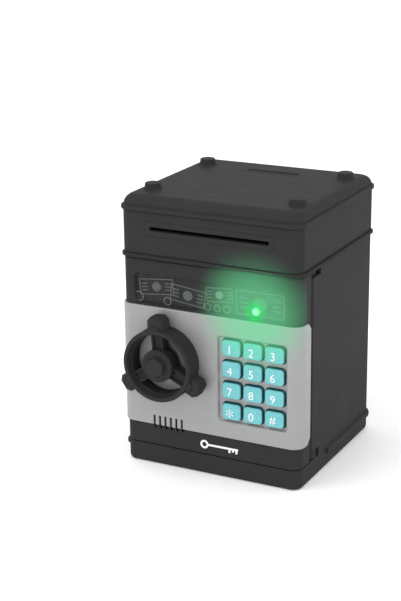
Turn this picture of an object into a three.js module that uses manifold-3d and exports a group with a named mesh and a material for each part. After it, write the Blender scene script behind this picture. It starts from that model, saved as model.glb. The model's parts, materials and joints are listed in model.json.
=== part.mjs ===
// Toy cash-machine savings bank: a moulded box with a hinged door, a twelve-key keypad, a hand
// wheel that throws a latch bolt, a motor-driven banknote slot and a coin slot in the lid.
// Millimetres, +Z up, front towards -Y. The origin is the centre of the underside.

import * as THREE from 'three';
import { mergeVertices } from 'three/addons/utils/BufferGeometryUtils.js';
import Module from 'manifold-3d';

const wasm = await Module();
wasm.setup();

// ---- Driving dimensions ---------------------------------------------------------------------

const WIDTH = 120;
const DEPTH = 116.6;
const SIDE = WIDTH / 2;
const FRONT = -DEPTH / 2;
const BACK = DEPTH / 2;
const CORNER = 6.5;
const CORNER_STEPS = 4;
const WALL = 2.5;
const GAP = 0.3;
const BEAD = 1.6;
const ROUND = 16;

const SHELF_Z = 13;
const BODY_TOP = 135;
const HEAD_TOP = 164.3;
const RIM_TOP = 167.5;
const DECK_Z = 173.8;
const LID_BOSS_Z = 177.6;
const DECK_HALF = { x: 54.5, y: 50 };
const BASE_THICK = 3;

const DOOR_BACK = -42;
const DOOR_BOTTOM = SHELF_Z + 0.4;
const DOOR_TOP = BODY_TOP - GAP;
const DOOR_CORNER = 6.5;
const DOOR_WALL = 2;
const PLATE = { bottom: 27.5, top: 105.3, proud: 1.3, gap: 0.1, back: -44.5, chamfer: 4 };

const HINGE = { x: 54, y: -34, r: 6, pin: 1.5, bore: 1.75 };
const COLUMN_R = 7.6;
const COLUMN = { bottom: 18.7, top: 130.7 };
const HINGE_NOTCH_BACK = -27.9;

const WINDOW = { half: 50.8, bottom: 106.6, top: 125.4, thick: 1.5 };
const LED = { x: 31.2, z: 111.2, r: 2.5 };
const SPEAKER = { x: -28.7, z: 30, r: 13 };
const GRILLE = { count: 6, pitch: 3.85, width: 1.1, bottom: 25.4, top: 34.4 };

const KEYS = { columns: [15.8, 30.1, 44.4], rows: [86.5, 72.85, 59.2, 45.5], w: 12.4, h: 10.2 };
const KEY = { corner: 2.2, top: -60.7, flange: 0.9, hole: 0.4, travel: 1.2 };
const POCKET = { x0: 6, x1: 52.5, z0: 38, z1: 93.6, depth: 1.9, slope: 1, floor: 1.2 };

const KNOB = { x: -28.8, z: 72, ringR: 23, ringBack: 3, ringFront: 15.4, hubR: 10.3, hubFront: 14.4 };
const LUG_ANGLES = [94, -26, -146];
const HEX = { r: 6.5, front: 18.1, shank: 1.6 };
const SHAFT_R = 3;

const LATCH = { module: 1, teeth: 9, front: -37.8, back: -33.8, bottom: 60.5, tip: -49.5, tail: -19 };
const LATCH_PITCH_R = LATCH.module * LATCH.teeth / 2;
const LATCH_THROW = LATCH_PITCH_R * Math.PI / 2;
const PLUNGER = { x: -42, r: 1.5, tip: 67.3, top: 100 };
const SOLENOID = { half: 5.7, bottom: 73, top: 94, front: -41.5, back: -30.6 };

const CELL = { r: 7.1, length: 50, pitch: 15, x0: -14.5, z0: 31.2, y: -40.1 };
const WELL = { x0: -17, x1: 38, z0: 21.8, z1: 70.6, front: -49.2, back: -31, wall: 1.2 };

const NOTE_SLOT = { half: 39.7, bottom: 153, top: 155.4 };
const BEZEL = { half: 43.2, bottom: 149.6, top: 158.8 };
const COIN_SLOT = { y: 33.5, half: 17.5, width: 3 };
const TRAY = { bottom: 135.6, top: 138 };
const NOTE_EXIT = { half: 42, y0: -30, y1: -10 };

const FEED = { y: -38, z: 148.4, r: 5.5, shaft: 1.5, end: 45 };
const IDLER = { z: 158.6, r: 4 };
const ROLLERS = [-24, 24];
const ROLLER_WIDTH = 14;
const BRACKET = { x: 43, thick: 2, y0: -46, y1: 12 };
const MOTOR = { y: 4, z: 149.5, r: 9, flat: 7.2, x0: 14, x1: 40 };
const BELT = { x0: 46.6, x1: 48.6, feedR: 7, motorR: 3, gap: 0.3, thick: 1.2 };

// ---- Finishes -------------------------------------------------------------------------------

const finish = {
  charcoal: { color: 0x3d3d3f, roughness: 0.45, metalness: 0 },
  silver: { color: 0xa9a9ab, roughness: 0.35, metalness: 0.3 },
  key: { color: 0x64dad5, roughness: 0.5, metalness: 0 },
  smoke: { color: 0x2c3230, roughness: 0.15, metalness: 0, transparent: true, opacity: 0.35 },
  led: { color: 0x5dff9a, roughness: 0.3, metalness: 0 },
  innerPlastic: { color: 0x4a4a4c, roughness: 0.6, metalness: 0 },
  steel: { color: 0xb9bbbe, roughness: 0.3, metalness: 1 },
  rubber: { color: 0x232323, roughness: 0.85, metalness: 0 },
  board: { color: 0x1f6a3c, roughness: 0.55, metalness: 0 },
  latchPlastic: { color: 0xe8e6df, roughness: 0.45, metalness: 0 },
  copper: { color: 0xb87333, roughness: 0.4, metalness: 0.8 },
  cell: { color: 0x2f5d8c, roughness: 0.35, metalness: 0.1 },
};

// ---- Solid helpers --------------------------------------------------------------------------

const group = new THREE.Group();

function solid(geometry) {
  const bare = geometry.clone();
  bare.deleteAttribute('normal');
  bare.deleteAttribute('uv');
  const merged = mergeVertices(bare, 1e-4);
  return new wasm.Manifold(new wasm.Mesh({
    numProp: 3,
    vertProperties: new Float32Array(merged.attributes.position.array),
    triVerts: new Uint32Array(merged.index.array),
  }));
}

function addPart(name, look, body) {
  const mesh = body.getMesh();
  const geometry = new THREE.BufferGeometry();
  geometry.setAttribute('position', new THREE.BufferAttribute(mesh.vertProperties, 3));
  geometry.setIndex(new THREE.BufferAttribute(mesh.triVerts, 1));
  geometry.computeVertexNormals();
  const node = new THREE.Mesh(geometry, new THREE.MeshStandardMaterial(finish[look]));
  node.name = name;
  group.add(node);
}

const join = (bodies) => bodies.reduce((whole, body) => whole.add(body));
const cut = (body, tools) => tools.reduce((rest, tool) => rest.subtract(tool), body);

function box(x0, x1, y0, y1, z0, z1) {
  const geometry = new THREE.BoxGeometry(x1 - x0, y1 - y0, z1 - z0);
  geometry.translate((x0 + x1) / 2, (y0 + y1) / 2, (z0 + z1) / 2);
  return solid(geometry);
}

// A round bar along one axis; `at` holds its centre in the other two axes, in x, y, z order.
function rod(axis, r, from, to, at, segments = ROUND) {
  const geometry = new THREE.CylinderGeometry(r, r, to - from, segments);
  const middle = (from + to) / 2;
  if (axis === 'x') {
    geometry.rotateZ(Math.PI / 2);
    geometry.translate(middle, at[0], at[1]);
  } else if (axis === 'y') {
    geometry.translate(at[0], middle, at[1]);
  } else {
    geometry.rotateX(Math.PI / 2);
    geometry.translate(at[0], at[1], middle);
  }
  return solid(geometry);
}

// A closed loft through rings of equally many points, each counter-clockwise seen from above.
function loft(rings) {
  const count = rings[0].length;
  const index = [];
  for (let k = 0; k + 1 < rings.length; k++) {
    for (let i = 0; i < count; i++) {
      const a = k * count + i;
      const b = k * count + (i + 1) % count;
      index.push(a, b, b + count, a, b + count, a + count);
    }
  }
  const last = (rings.length - 1) * count;
  for (let i = 1; i + 1 < count; i++) {
    index.push(0, i + 1, i);
    index.push(last, last + i, last + i + 1);
  }
  const geometry = new THREE.BufferGeometry();
  const positions = rings.flat().flatMap((p) => [p.x, p.y, p.z]);
  geometry.setAttribute('position', new THREE.Float32BufferAttribute(positions, 3));
  geometry.setIndex(index);
  return solid(geometry);
}

function ring(halfX, halfY, radius, z) {
  const points = [];
  for (const [sx, sy, start] of [[1, -1, -90], [1, 1, 0], [-1, 1, 90], [-1, -1, 180]]) {
    for (let i = 0; i <= CORNER_STEPS; i++) {
      const angle = THREE.MathUtils.degToRad(start + 90 * i / CORNER_STEPS);
      const x = sx * (halfX - radius) + radius * Math.cos(angle);
      const y = sy * (halfY - radius) + radius * Math.sin(angle);
      points.push(new THREE.Vector3(x, y, z));
    }
  }
  return points;
}

// The body's plan outline grown by `offset`, at height z.
const bodyRing = (offset, z) => ring(SIDE + offset, BACK + offset, CORNER + offset, z);

function roundedShape(halfX, halfY, radius) {
  const shape = new THREE.Shape();
  shape.moveTo(halfX, -halfY + radius);
  shape.absarc(halfX - radius, halfY - radius, radius, 0, Math.PI / 2);
  shape.absarc(-halfX + radius, halfY - radius, radius, Math.PI / 2, Math.PI);
  shape.absarc(-halfX + radius, -halfY + radius, radius, Math.PI, 1.5 * Math.PI);
  shape.absarc(halfX - radius, -halfY + radius, radius, 1.5 * Math.PI, 2 * Math.PI);
  return shape;
}

const plain = (depth, curveSegments = 4) => ({ depth, curveSegments, bevelEnabled: false });

// Turns a shape drawn facing the viewer (x right, y up, depth outwards) onto the front, at (x, y, z).
function facing(geometry, x, y, z) {
  geometry.rotateX(Math.PI / 2);
  geometry.translate(x, y, z);
  return solid(geometry);
}

function frontPanel(x0, x1, z0, z1, yFront, yBack, radius) {
  const shape = roundedShape((x1 - x0) / 2, (z1 - z0) / 2, radius);
  const geometry = new THREE.ExtrudeGeometry(shape, plain(yBack - yFront, 2));
  return facing(geometry, (x0 + x1) / 2, yBack, (z0 + z1) / 2);
}

// A turned piece on the front: profile points are [radius, height outwards from y].
function turned(profile, x, y, z, segments = ROUND) {
  const points = profile.map(([r, h]) => new THREE.Vector2(r, h));
  const geometry = new THREE.LatheGeometry(points, segments);
  geometry.rotateX(Math.PI / 2);
  return facing(geometry, x, y, z);
}

// ---- Base and lower body --------------------------------------------------------------------

const BASE_SCREWS = [[-50, -48.5], [50, -48.5], [-53, 51], [53, 51]];
const SCREW = { headR: 3, headZ: 0.4, headTop: 1.8, shankR: 1.4, tip: 9, bossR: 5 };

function basePlate() {
  const inset = -WALL - GAP;
  const plate = loft([bodyRing(inset, 0), bodyRing(inset, BASE_THICK)]);
  const holes = BASE_SCREWS.flatMap((at) => [
    rod('z', SCREW.headR + 0.4, -1, SCREW.headTop + 0.1, at),
    rod('z', SCREW.shankR + GAP, -1, BASE_THICK + 1, at),
  ]);
  addPart('base_plate', 'charcoal', cut(plate, holes));
  BASE_SCREWS.forEach((at, i) => {
    const head = rod('z', SCREW.headR, SCREW.headZ, SCREW.headTop, at, 16);
    const shank = rod('z', SCREW.shankR, SCREW.headTop - 0.5, SCREW.tip, at, 10);
    addPart(`base_screw_${i + 1}`, 'steel', head.add(shank));
  });
}

function lowerHousing() {
  const sillFront = DOOR_BACK + 0.7;
  const sillBack = sillFront + WALL;
  const lipBack = -38.3;
  const lipEnd = -50.5;
  const outer = loft([
    bodyRing(-2.4, 0),
    bodyRing(-0.7, 0.7),
    bodyRing(0, 2.4),
    bodyRing(0, BODY_TOP),
  ]);
  const bead = loft([
    bodyRing(0.2, 8.8),
    bodyRing(BEAD, 9.8),
    bodyRing(BEAD, 12.2),
    bodyRing(0.2, 13.2),
  ]);
  const beadEnds = [box(-80, 80, -80, -54, 0, 20), box(0, 80, -80, -16, 0, 20)];
  const inside = [
    box(-SIDE + WALL, SIDE - WALL, sillBack, BACK - WALL, -1, BODY_TOP + 1),
    box(-SIDE + WALL, SIDE - WALL, FRONT + WALL, sillFront, -1, SHELF_Z - WALL),
    box(-SIDE + WALL, SIDE - WALL, sillFront - 1, sillBack + 1, -1, BASE_THICK + GAP),
    box(-80, 80, -80, DOOR_BACK + 0.5, SHELF_Z, BODY_TOP + 1),
    box(-SIDE + WALL, 80, -80, lipBack, SHELF_Z, BODY_TOP + 1),
    box(50, 80, -80, HINGE.y, SHELF_Z, BODY_TOP + 1),
  ];
  const shell = cut(outer.add(cut(bead, beadEnds)), inside);
  const lip = box(-SIDE + 1, lipEnd, DOOR_BACK + 0.7, lipBack, SHELF_Z - 1, BODY_TOP);
  const column = rod('z', COLUMN_R, SHELF_Z - 1, BODY_TOP, [HINGE.x, HINGE.y])
    .intersect(box(0, SIDE, -60, HINGE_NOTCH_BACK, 0, BODY_TOP));
  const pinBoss = rod('z', 5, BASE_THICK + GAP, SHELF_Z, [HINGE.x, HINGE.y]);
  const screwBosses = BASE_SCREWS.map((at) => {
    const top = at[1] < 0 ? SHELF_Z - 1 : 12;
    return rod('z', SCREW.bossR, BASE_THICK + GAP, top, at);
  });
  const notch = (z0, z1) => box(47, 80, -60, HINGE_NOTCH_BACK, z0, z1);
  const grooves = [
    notch(SHELF_Z, COLUMN.bottom),
    notch(COLUMN.top, BODY_TOP + 1),
    rod('z', HINGE.bore, 6, BODY_TOP + 1, [HINGE.x, HINGE.y], 16),
    ...BASE_SCREWS.map((at) => rod('z', SCREW.shankR + 0.1, 0, SCREW.tip + 0.5, at, 10)),
  ];
  const body = join([shell, lip, column, pinBoss, ...screwBosses]);
  addPart('lower_housing', 'charcoal', cut(body, grooves));
  const pin = (z0, z1) => rod('z', HINGE.pin, z0, z1, [HINGE.x, HINGE.y], 16);
  addPart('hinge_pin_lower', 'steel', pin(6.5, 32));
  addPart('hinge_pin_upper', 'steel', pin(112, TRAY.top + 1));
}

// ---- Head and lid ---------------------------------------------------------------------------

function headShell() {
  const z = BODY_TOP + GAP;
  const outer = loft([
    bodyRing(0.9, z),
    bodyRing(BEAD, z + 0.6),
    bodyRing(BEAD, z + 1.7),
    bodyRing(0.9, z + 2.3),
    bodyRing(-0.2, z + 2.35),
    bodyRing(-0.2, z + 2.8),
    bodyRing(0.3, z + 2.85),
    bodyRing(0.3, HEAD_TOP),
  ]);
  const inner = loft([bodyRing(-WALL, z - 1), bodyRing(-WALL, HEAD_TOP + 1)]);
  const seat = frontPanel(
    -BEZEL.half, BEZEL.half, BEZEL.bottom, BEZEL.top, FRONT - 2, FRONT + WALL + 1, 1);
  addPart('head_shell', 'charcoal', cut(outer, [inner, seat]));

  const edge = 0.2;
  const bezel = frontPanel(
    -BEZEL.half + edge, BEZEL.half - edge, BEZEL.bottom + edge, BEZEL.top - edge,
    FRONT - 0.3, FRONT + 3, 0.8);
  const slot = box(
    -NOTE_SLOT.half, NOTE_SLOT.half, FRONT - 2, FRONT + 5, NOTE_SLOT.bottom, NOTE_SLOT.top);
  addPart('note_slot_bezel', 'charcoal', bezel.subtract(slot));
}

function lidRings(inset, z0) {
  const rings = [];
  const steps = 4;
  const span = { x: SIDE - DECK_HALF.x, y: BACK - DECK_HALF.y };
  for (let i = 0; i <= steps; i++) {
    const t = i / steps * Math.PI / 2;
    rings.push(ring(
      DECK_HALF.x + span.x * Math.cos(t) - inset,
      DECK_HALF.y + span.y * Math.cos(t) - inset,
      4 + (CORNER - 4) * Math.cos(t) - inset / 2,
      z0 + (DECK_Z - RIM_TOP) * Math.sin(t)));
  }
  return rings;
}

function topCover() {
  const z = HEAD_TOP + GAP;
  const outer = loft([
    bodyRing(0.9, z),
    bodyRing(BEAD, z + 0.6),
    bodyRing(BEAD, RIM_TOP - 0.6),
    bodyRing(0.9, RIM_TOP - 0.05),
    ...lidRings(0, RIM_TOP),
  ]);
  const inner = loft([bodyRing(-WALL, z - 1), ...lidRings(WALL, RIM_TOP - 2)]);
  const bosses = [-1, 1].flatMap((sx) => [-1, 1].map((sy) => {
    const profile = [[0, DECK_Z - 1], [6, DECK_Z - 1], [5.6, DECK_Z + 0.6], [4.8, LID_BOSS_Z - 0.4],
      [4.2, LID_BOSS_Z], [0, LID_BOSS_Z]];
    const points = profile.map(([r, h]) => new THREE.Vector2(r, h));
    const geometry = new THREE.LatheGeometry(points, 12);
    geometry.rotateX(Math.PI / 2);
    geometry.translate(sx * 48.5, sy * 37, 0);
    return solid(geometry);
  }));
  const slot = box(
    -COIN_SLOT.half, COIN_SLOT.half,
    COIN_SLOT.y - COIN_SLOT.width / 2, COIN_SLOT.y + COIN_SLOT.width / 2, 160, 180);
  addPart('top_cover', 'charcoal', cut(join([outer.subtract(inner), ...bosses]), [slot]));

  const y = COIN_SLOT.y;
  const chute = box(-19.5, 19.5, y - 2.9, y + 2.9, BODY_TOP - 4, DECK_Z - 2 - WALL);
  const way = box(-18.3, 18.3, y - 1.9, y + 1.9, 100, 200);
  addPart('coin_chute', 'innerPlastic', chute.subtract(way));
}

// ---- Banknote feeder ------------------------------------------------------------------------

function noteTray() {
  const inset = -WALL - GAP;
  const tray = loft([bodyRing(inset, TRAY.bottom), bodyRing(inset, TRAY.top)]);
  const ramp = box(-NOTE_EXIT.half, NOTE_EXIT.half, -54, -48.5, TRAY.top - 0.5, NOTE_SLOT.bottom - 0.8);
  const y = COIN_SLOT.y;
  const openings = [
    box(-NOTE_EXIT.half, NOTE_EXIT.half, NOTE_EXIT.y0, NOTE_EXIT.y1, 130, 145),
    box(-20, 20, y - 3.4, y + 3.4, 130, 145),
    rod('z', HINGE.bore, 130, 145, [HINGE.x, HINGE.y], 16),
  ];
  addPart('note_tray', 'innerPlastic', cut(tray.add(ramp), openings));
  addPart('note_sensor', 'board', box(-9, 9, -55, -53.4, 159.5, 164));
}

function feeder() {
  const shaft = (z, end) => rod('x', FEED.shaft, -end, end, [FEED.y, z], 12);
  const roller = (x, z, r) => rod('x', r, x - ROLLER_WIDTH / 2, x + ROLLER_WIDTH / 2, [FEED.y, z])
    .subtract(rod('x', FEED.shaft + 0.1, x - 20, x + 20, [FEED.y, z], 12));
  addPart('feed_shaft', 'steel', rod('x', FEED.shaft, -46, 50, [FEED.y, FEED.z], 12));
  addPart('idler_shaft', 'steel', shaft(IDLER.z, 46));
  ROLLERS.forEach((x) => {
    const sideName = x < 0 ? 'left' : 'right';
    addPart(`feed_roller_${sideName}`, 'rubber', roller(x, FEED.z, FEED.r));
    addPart(`idler_roller_${sideName}`, 'rubber', roller(x, IDLER.z, IDLER.r));
  });
  for (const side of [-1, 1]) {
    const x0 = side * BRACKET.x - BRACKET.thick / 2;
    const x1 = x0 + BRACKET.thick;
    const tall = box(x0, x1, BRACKET.y0, -31, TRAY.top + 0.1, 163.5);
    const low = box(x0, x1, -32, side > 0 ? BRACKET.y1 : -24, TRAY.top + 0.1, side > 0 ? 158.5 : 146);
    const bores = [
      rod('x', HINGE.bore, x0 - 1, x1 + 1, [FEED.y, FEED.z], 16),
      rod('x', HINGE.bore, x0 - 1, x1 + 1, [FEED.y, IDLER.z], 16),
    ];
    if (side > 0) {
      bores.push(rod('x', 2.2, x0 - 1, x1 + 1, [MOTOR.y, MOTOR.z], 16));
    }
    addPart(`feeder_bracket_${side < 0 ? 'left' : 'right'}`, 'innerPlastic', cut(tall.add(low), bores));
  }
}

function motor() {
  const can = rod('x', MOTOR.r, MOTOR.x0, MOTOR.x1, [MOTOR.y, MOTOR.z])
    .intersect(box(0, 60, -40, 40, MOTOR.z - MOTOR.flat, MOTOR.z + MOTOR.flat));
  const nose = rod('x', 3, MOTOR.x1 - 1, MOTOR.x1 + 1.4, [MOTOR.y, MOTOR.z], 16);
  const bore = rod('x', 1.2, MOTOR.x1 - 6, MOTOR.x1 + 3, [MOTOR.y, MOTOR.z], 12);
  addPart('feed_motor', 'steel', can.add(nose).subtract(bore));

  const spindle = rod('x', 1, MOTOR.x1 - 5, BELT.x1 + 1, [MOTOR.y, MOTOR.z], 10);
  const pulley = (r, y, z) => join([
    rod('x', r, BELT.x0 - 0.6, BELT.x1 + 0.6, [y, z]),
    rod('x', r + 1.4, BELT.x0 - 1.4, BELT.x0 - 0.4, [y, z]),
    rod('x', r + 1.4, BELT.x1 + 0.4, BELT.x1 + 1.4, [y, z]),
  ]);
  addPart('motor_pulley', 'latchPlastic', pulley(BELT.motorR, MOTOR.y, MOTOR.z).add(spindle));
  const feedBore = rod('x', FEED.shaft + 0.1, 40, 60, [FEED.y, FEED.z], 12);
  addPart('feed_pulley', 'latchPlastic', pulley(BELT.feedR, FEED.y, FEED.z).subtract(feedBore));

  const loop = (grow) => {
    const span = new THREE.Vector2(MOTOR.y - FEED.y, MOTOR.z - FEED.z);
    const lean = Math.acos((BELT.feedR - BELT.motorR) / span.length());
    const along = span.angle();
    const shape = new THREE.Shape();
    const feedR = BELT.feedR + grow;
    const motorR = BELT.motorR + grow;
    shape.absarc(0, 0, feedR, along + lean, along - lean + 2 * Math.PI);
    shape.absarc(span.x, span.y, motorR, along - lean, along + lean);
    const geometry = new THREE.ExtrudeGeometry(shape, plain(BELT.x1 - BELT.x0, 8));
    geometry.rotateX(Math.PI / 2);
    geometry.rotateZ(Math.PI / 2);
    geometry.translate(BELT.x0, FEED.y, FEED.z);
    return solid(geometry);
  };
  addPart('drive_belt', 'rubber', loop(BELT.gap + BELT.thick).subtract(loop(BELT.gap)));
}

// ---- Door -----------------------------------------------------------------------------------

// The door's plan outline, rounded at the two front corners, grown by `offset`.
function doorPrism(offset, back, z0, z1) {
  const half = SIDE + offset;
  const front = FRONT - offset;
  const radius = DOOR_CORNER + offset;
  const shape = new THREE.Shape();
  shape.moveTo(half, back);
  shape.lineTo(-half, back);
  shape.absarc(-half + radius, front + radius, radius, Math.PI, 1.5 * Math.PI);
  shape.absarc(half - radius, front + radius, radius, 1.5 * Math.PI, 2 * Math.PI);
  const geometry = new THREE.ExtrudeGeometry(shape, plain(z1 - z0, 6));
  geometry.translate(0, 0, z0);
  return solid(geometry);
}

function grilleSlots() {
  const slots = [];
  for (let i = 0; i < GRILLE.count; i++) {
    const x = SPEAKER.x + (i - (GRILLE.count - 1) / 2) * GRILLE.pitch;
    slots.push(box(x - GRILLE.width / 2, x + GRILLE.width / 2, -70, -55, GRILLE.bottom, GRILLE.top));
  }
  return slots;
}

function doorShell() {
  const interior = doorPrism(-DOOR_WALL, DOOR_BACK + 5, DOOR_BOTTOM + DOOR_WALL, DOOR_TOP - DOOR_WALL);
  const shell = doorPrism(0, DOOR_BACK, DOOR_BOTTOM, DOOR_TOP).subtract(interior);
  const knuckle = (r, z0, z1) => join([
    rod('z', r, z0, z1, [HINGE.x, HINGE.y]),
    box(HINGE.x - 2, HINGE.x + 3, DOOR_BACK - 4, HINGE.y, z0, z1),
  ]);
  const lower = knuckle(HINGE.r, DOOR_BOTTOM, COLUMN.bottom - GAP);
  const upper = knuckle(4.8, COLUMN.top + GAP, DOOR_TOP);
  const openings = [
    frontPanel(-WINDOW.half, WINDOW.half, WINDOW.bottom, WINDOW.top, FRONT - 2, FRONT + 4, 2),
    frontPanel(POCKET.x0 - 1.6, POCKET.x1 + 1.6, POCKET.z0 - 1.6, POCKET.z1 + 1.6,
      FRONT - 2, FRONT + 4, 2),
    rod('y', SHAFT_R + 0.5, -70, -50, [KNOB.x, KNOB.z]),
    ...grilleSlots(),
    rod('z', HINGE.bore + 0.1, 0, 140, [HINGE.x, HINGE.y], 16),
  ];
  addPart('door_shell', 'charcoal', cut(join([shell, lower, upper]), openings));
}

function keyPositions() {
  const names = ['1', '2', '3', '4', '5', '6', '7', '8', '9', 'star', '0', 'hash'];
  return names.map((name, i) => ({
    name: `key_${name}`,
    x: KEYS.columns[i % 3],
    z: KEYS.rows[Math.floor(i / 3)],
  }));
}

function faceplate() {
  const { bottom, top, proud, back, chamfer } = PLATE;
  const skin = doorPrism(proud, back, bottom, top)
    .subtract(doorPrism(PLATE.gap, back + 5, bottom - 1, top + 1));
  const pocketFloor = FRONT - proud + POCKET.depth;
  const tub = frontPanel(POCKET.x0 - 1.2, POCKET.x1 + 1.2, POCKET.z0 - 1.2, POCKET.z1 + 1.2,
    FRONT - 0.6, pocketFloor + POCKET.floor, 1.6);
  const middle = { x: (POCKET.x0 + POCKET.x1) / 2, z: (POCKET.z0 + POCKET.z1) / 2 };
  const pocketRing = (inset, height) => ring(
    (POCKET.x1 - POCKET.x0) / 2 - inset, (POCKET.z1 - POCKET.z0) / 2 - inset, 2, height);
  const pocketSolid = loft([pocketRing(POCKET.slope, 0), pocketRing(0, POCKET.depth),
    pocketRing(0, POCKET.depth + 2)]);
  const pocket = pocketSolid.rotate([90, 0, 0]).translate([middle.x, pocketFloor, middle.z]);
  const keyHoles = keyPositions().map(({ x, z }) => frontPanel(
    x - KEYS.w / 2 - KEY.hole, x + KEYS.w / 2 + KEY.hole,
    z - KEYS.h / 2 - KEY.hole, z + KEYS.h / 2 + KEY.hole,
    pocketFloor - 1, pocketFloor + POCKET.floor + 1, KEY.corner + KEY.hole));
  const corners = [bottom, top].map((z) => {
    const wedge = new THREE.BoxGeometry(200, chamfer * Math.SQRT2, chamfer * Math.SQRT2);
    wedge.rotateX(Math.PI / 4);
    wedge.translate(0, back, z);
    return solid(wedge);
  });
  addPart('faceplate', 'silver', cut(skin.add(tub), [
    pocket, ...keyHoles, ...corners, ...grilleSlots(),
    rod('y', SHAFT_R + 1, -70, -50, [KNOB.x, KNOB.z]),
  ]));
}

function keypad() {
  const flangeFront = FRONT - PLATE.proud + POCKET.depth + POCKET.floor + GAP;
  const flangeBack = flangeFront + KEY.flange;
  keyPositions().forEach(({ name, x, z }) => {
    const bevel = 0.8;
    const shape = roundedShape(KEYS.w / 2 - bevel, KEYS.h / 2 - bevel, KEY.corner - bevel);
    const cap = new THREE.ExtrudeGeometry(shape, {
      depth: flangeBack - KEY.top - 2 * bevel,
      curveSegments: 2,
      bevelThickness: bevel,
      bevelSize: bevel,
      bevelSegments: 1,
    });
    const flange = box(x - KEYS.w / 2 - 0.7, x + KEYS.w / 2 + 0.7, flangeFront, flangeBack,
      z - KEYS.h / 2 - 1, z + KEYS.h / 2 + 1);
    addPart(name, 'key', facing(cap, x, flangeBack - bevel, z).add(flange));
  });
  const matFront = flangeBack + KEY.travel + GAP;
  addPart('keypad_mat', 'rubber', frontPanel(5, 54, 37, 95, matFront, matFront + 0.8, 2));
  const boardFront = matFront + 0.8 + GAP;
  const board = box(4, 55, boardFront, boardFront + 1.6, 24, 98);
  const chip = box(40, 52, boardFront + 1.5, boardFront + 2.6, 26, 34);
  addPart('control_board', 'board', board.add(chip));
}

function windowAndLed() {
  const edge = 0.2;
  const hole = (r) => rod('y', r, -70, -50, [LED.x, LED.z], 20);
  const pane = frontPanel(-WINDOW.half + edge, WINDOW.half - edge, WINDOW.bottom + edge,
    WINDOW.top - edge, FRONT, FRONT + WINDOW.thick, 1.8);
  addPart('window_pane', 'smoke', pane.subtract(hole(LED.r + 0.2)));
  const backFront = FRONT + DOOR_WALL + GAP;
  const insert = box(-53, 53, backFront, backFront + 1.5, WINDOW.bottom - 3, WINDOW.top + 3);
  addPart('window_insert', 'innerPlastic', insert.subtract(hole(LED.r + 0.2)));
  const dome = [[0, -5], [2.9, -5], [2.9, -4.1], [LED.r, -4.1], [LED.r, -0.8], [2.1, 0], [1.2, 0.5], [0, 0.7]];
  addPart('status_led', 'led', turned(dome, LED.x, FRONT, LED.z, 20));
}

function speaker() {
  const y = FRONT + DOOR_WALL + GAP;
  const profile = [[0, -1.6], [SPEAKER.r - 3, -0.6], [SPEAKER.r - 2, 0], [SPEAKER.r, 0],
    [SPEAKER.r, -1.5], [SPEAKER.r - 3, -3.5], [6, -3.7], [6, -5.4], [0, -5.4]];
  addPart('speaker', 'innerPlastic', turned(profile.reverse(), SPEAKER.x, y, SPEAKER.z));
}

function doorBackCover() {
  const thick = 1.8;
  const rim = DOOR_WALL + GAP;
  const panel = box(-SIDE + rim, SIDE - rim, DOOR_BACK - thick, DOOR_BACK,
    DOOR_BOTTOM + rim, DOOR_TOP - rim);
  const w = WELL.wall;
  const tub = box(WELL.x0, WELL.x1, WELL.front, WELL.back, WELL.z0, WELL.z1);
  const tubInside = box(WELL.x0 + w, WELL.x1 - w, WELL.front + w, 0, WELL.z0 + w, WELL.z1 - w);
  const armClear = (z0, z1) => box(HINGE.x - 2.4, HINGE.x + 3.4, -60, 0, z0, z1);
  const screwPost = rod('y', 2.4, WELL.front, WELL.back - 2.2, [WELL.x1 - 1, WELL.z1 + 1.5], 12);
  const screwBore = rod('y', 1, WELL.back - 12, 0, [WELL.x1 - 1, WELL.z1 + 1.5], 10);
  addPart('door_back_cover', 'innerPlastic', cut(join([panel, tub, screwPost]), [
    tubInside, screwBore,
    rod('y', SHAFT_R + 0.5, -60, 0, [KNOB.x, KNOB.z]),
    armClear(0, COLUMN.bottom), armClear(COLUMN.top, 150),
  ]));
}

function batteries() {
  const { r, length, pitch, x0, z0, y } = CELL;
  for (let i = 0; i < 3; i++) {
    const z = z0 + i * pitch;
    const flip = i % 2 === 0 ? 1 : -1;
    const cap = flip > 0 ? [x0 + length - 1.2, x0 + length] : [x0, x0 + 1.2];
    const can = flip > 0 ? [x0, x0 + length - 1] : [x0 + 1, x0 + length];
    const body = rod('x', r, can[0], can[1], [y, z], 20).add(rod('x', 2.7, cap[0], cap[1], [y, z], 12));
    addPart(`battery_${i + 1}`, 'cell', body);
  }
  const inset = GAP + WELL.wall;
  const lid = box(WELL.x0 + inset, WELL.x1 - inset, WELL.back - 1.5, WELL.back,
    WELL.z0 + inset, WELL.z1 - inset);
  const tab = box(WELL.x1 - 5, WELL.x1 + 2, WELL.back + GAP, WELL.back + 1.5, WELL.z1 - 6, WELL.z1 + 4.5);
  const neck = box(WELL.x1 - 5, WELL.x1 - inset, WELL.back - 0.5, WELL.back + 1.5,
    WELL.z1 - 6, WELL.z1 - inset);
  const hole = rod('y', 1.5, -50, 0, [WELL.x1 - 1, WELL.z1 + 1.5], 12);
  addPart('battery_cover', 'innerPlastic', join([lid, tab, neck]).subtract(hole));
  const at = [WELL.x1 - 1, WELL.z1 + 1.5];
  const head = rod('y', 2.2, WELL.back + 1.6, WELL.back + 2.8, at, 16);
  const shank = rod('y', 0.9, WELL.back - 8, WELL.back + 2, at, 10);
  addPart('battery_cover_screw', 'steel', head.add(shank));
}

// ---- Hand wheel and latch -------------------------------------------------------------------

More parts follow.
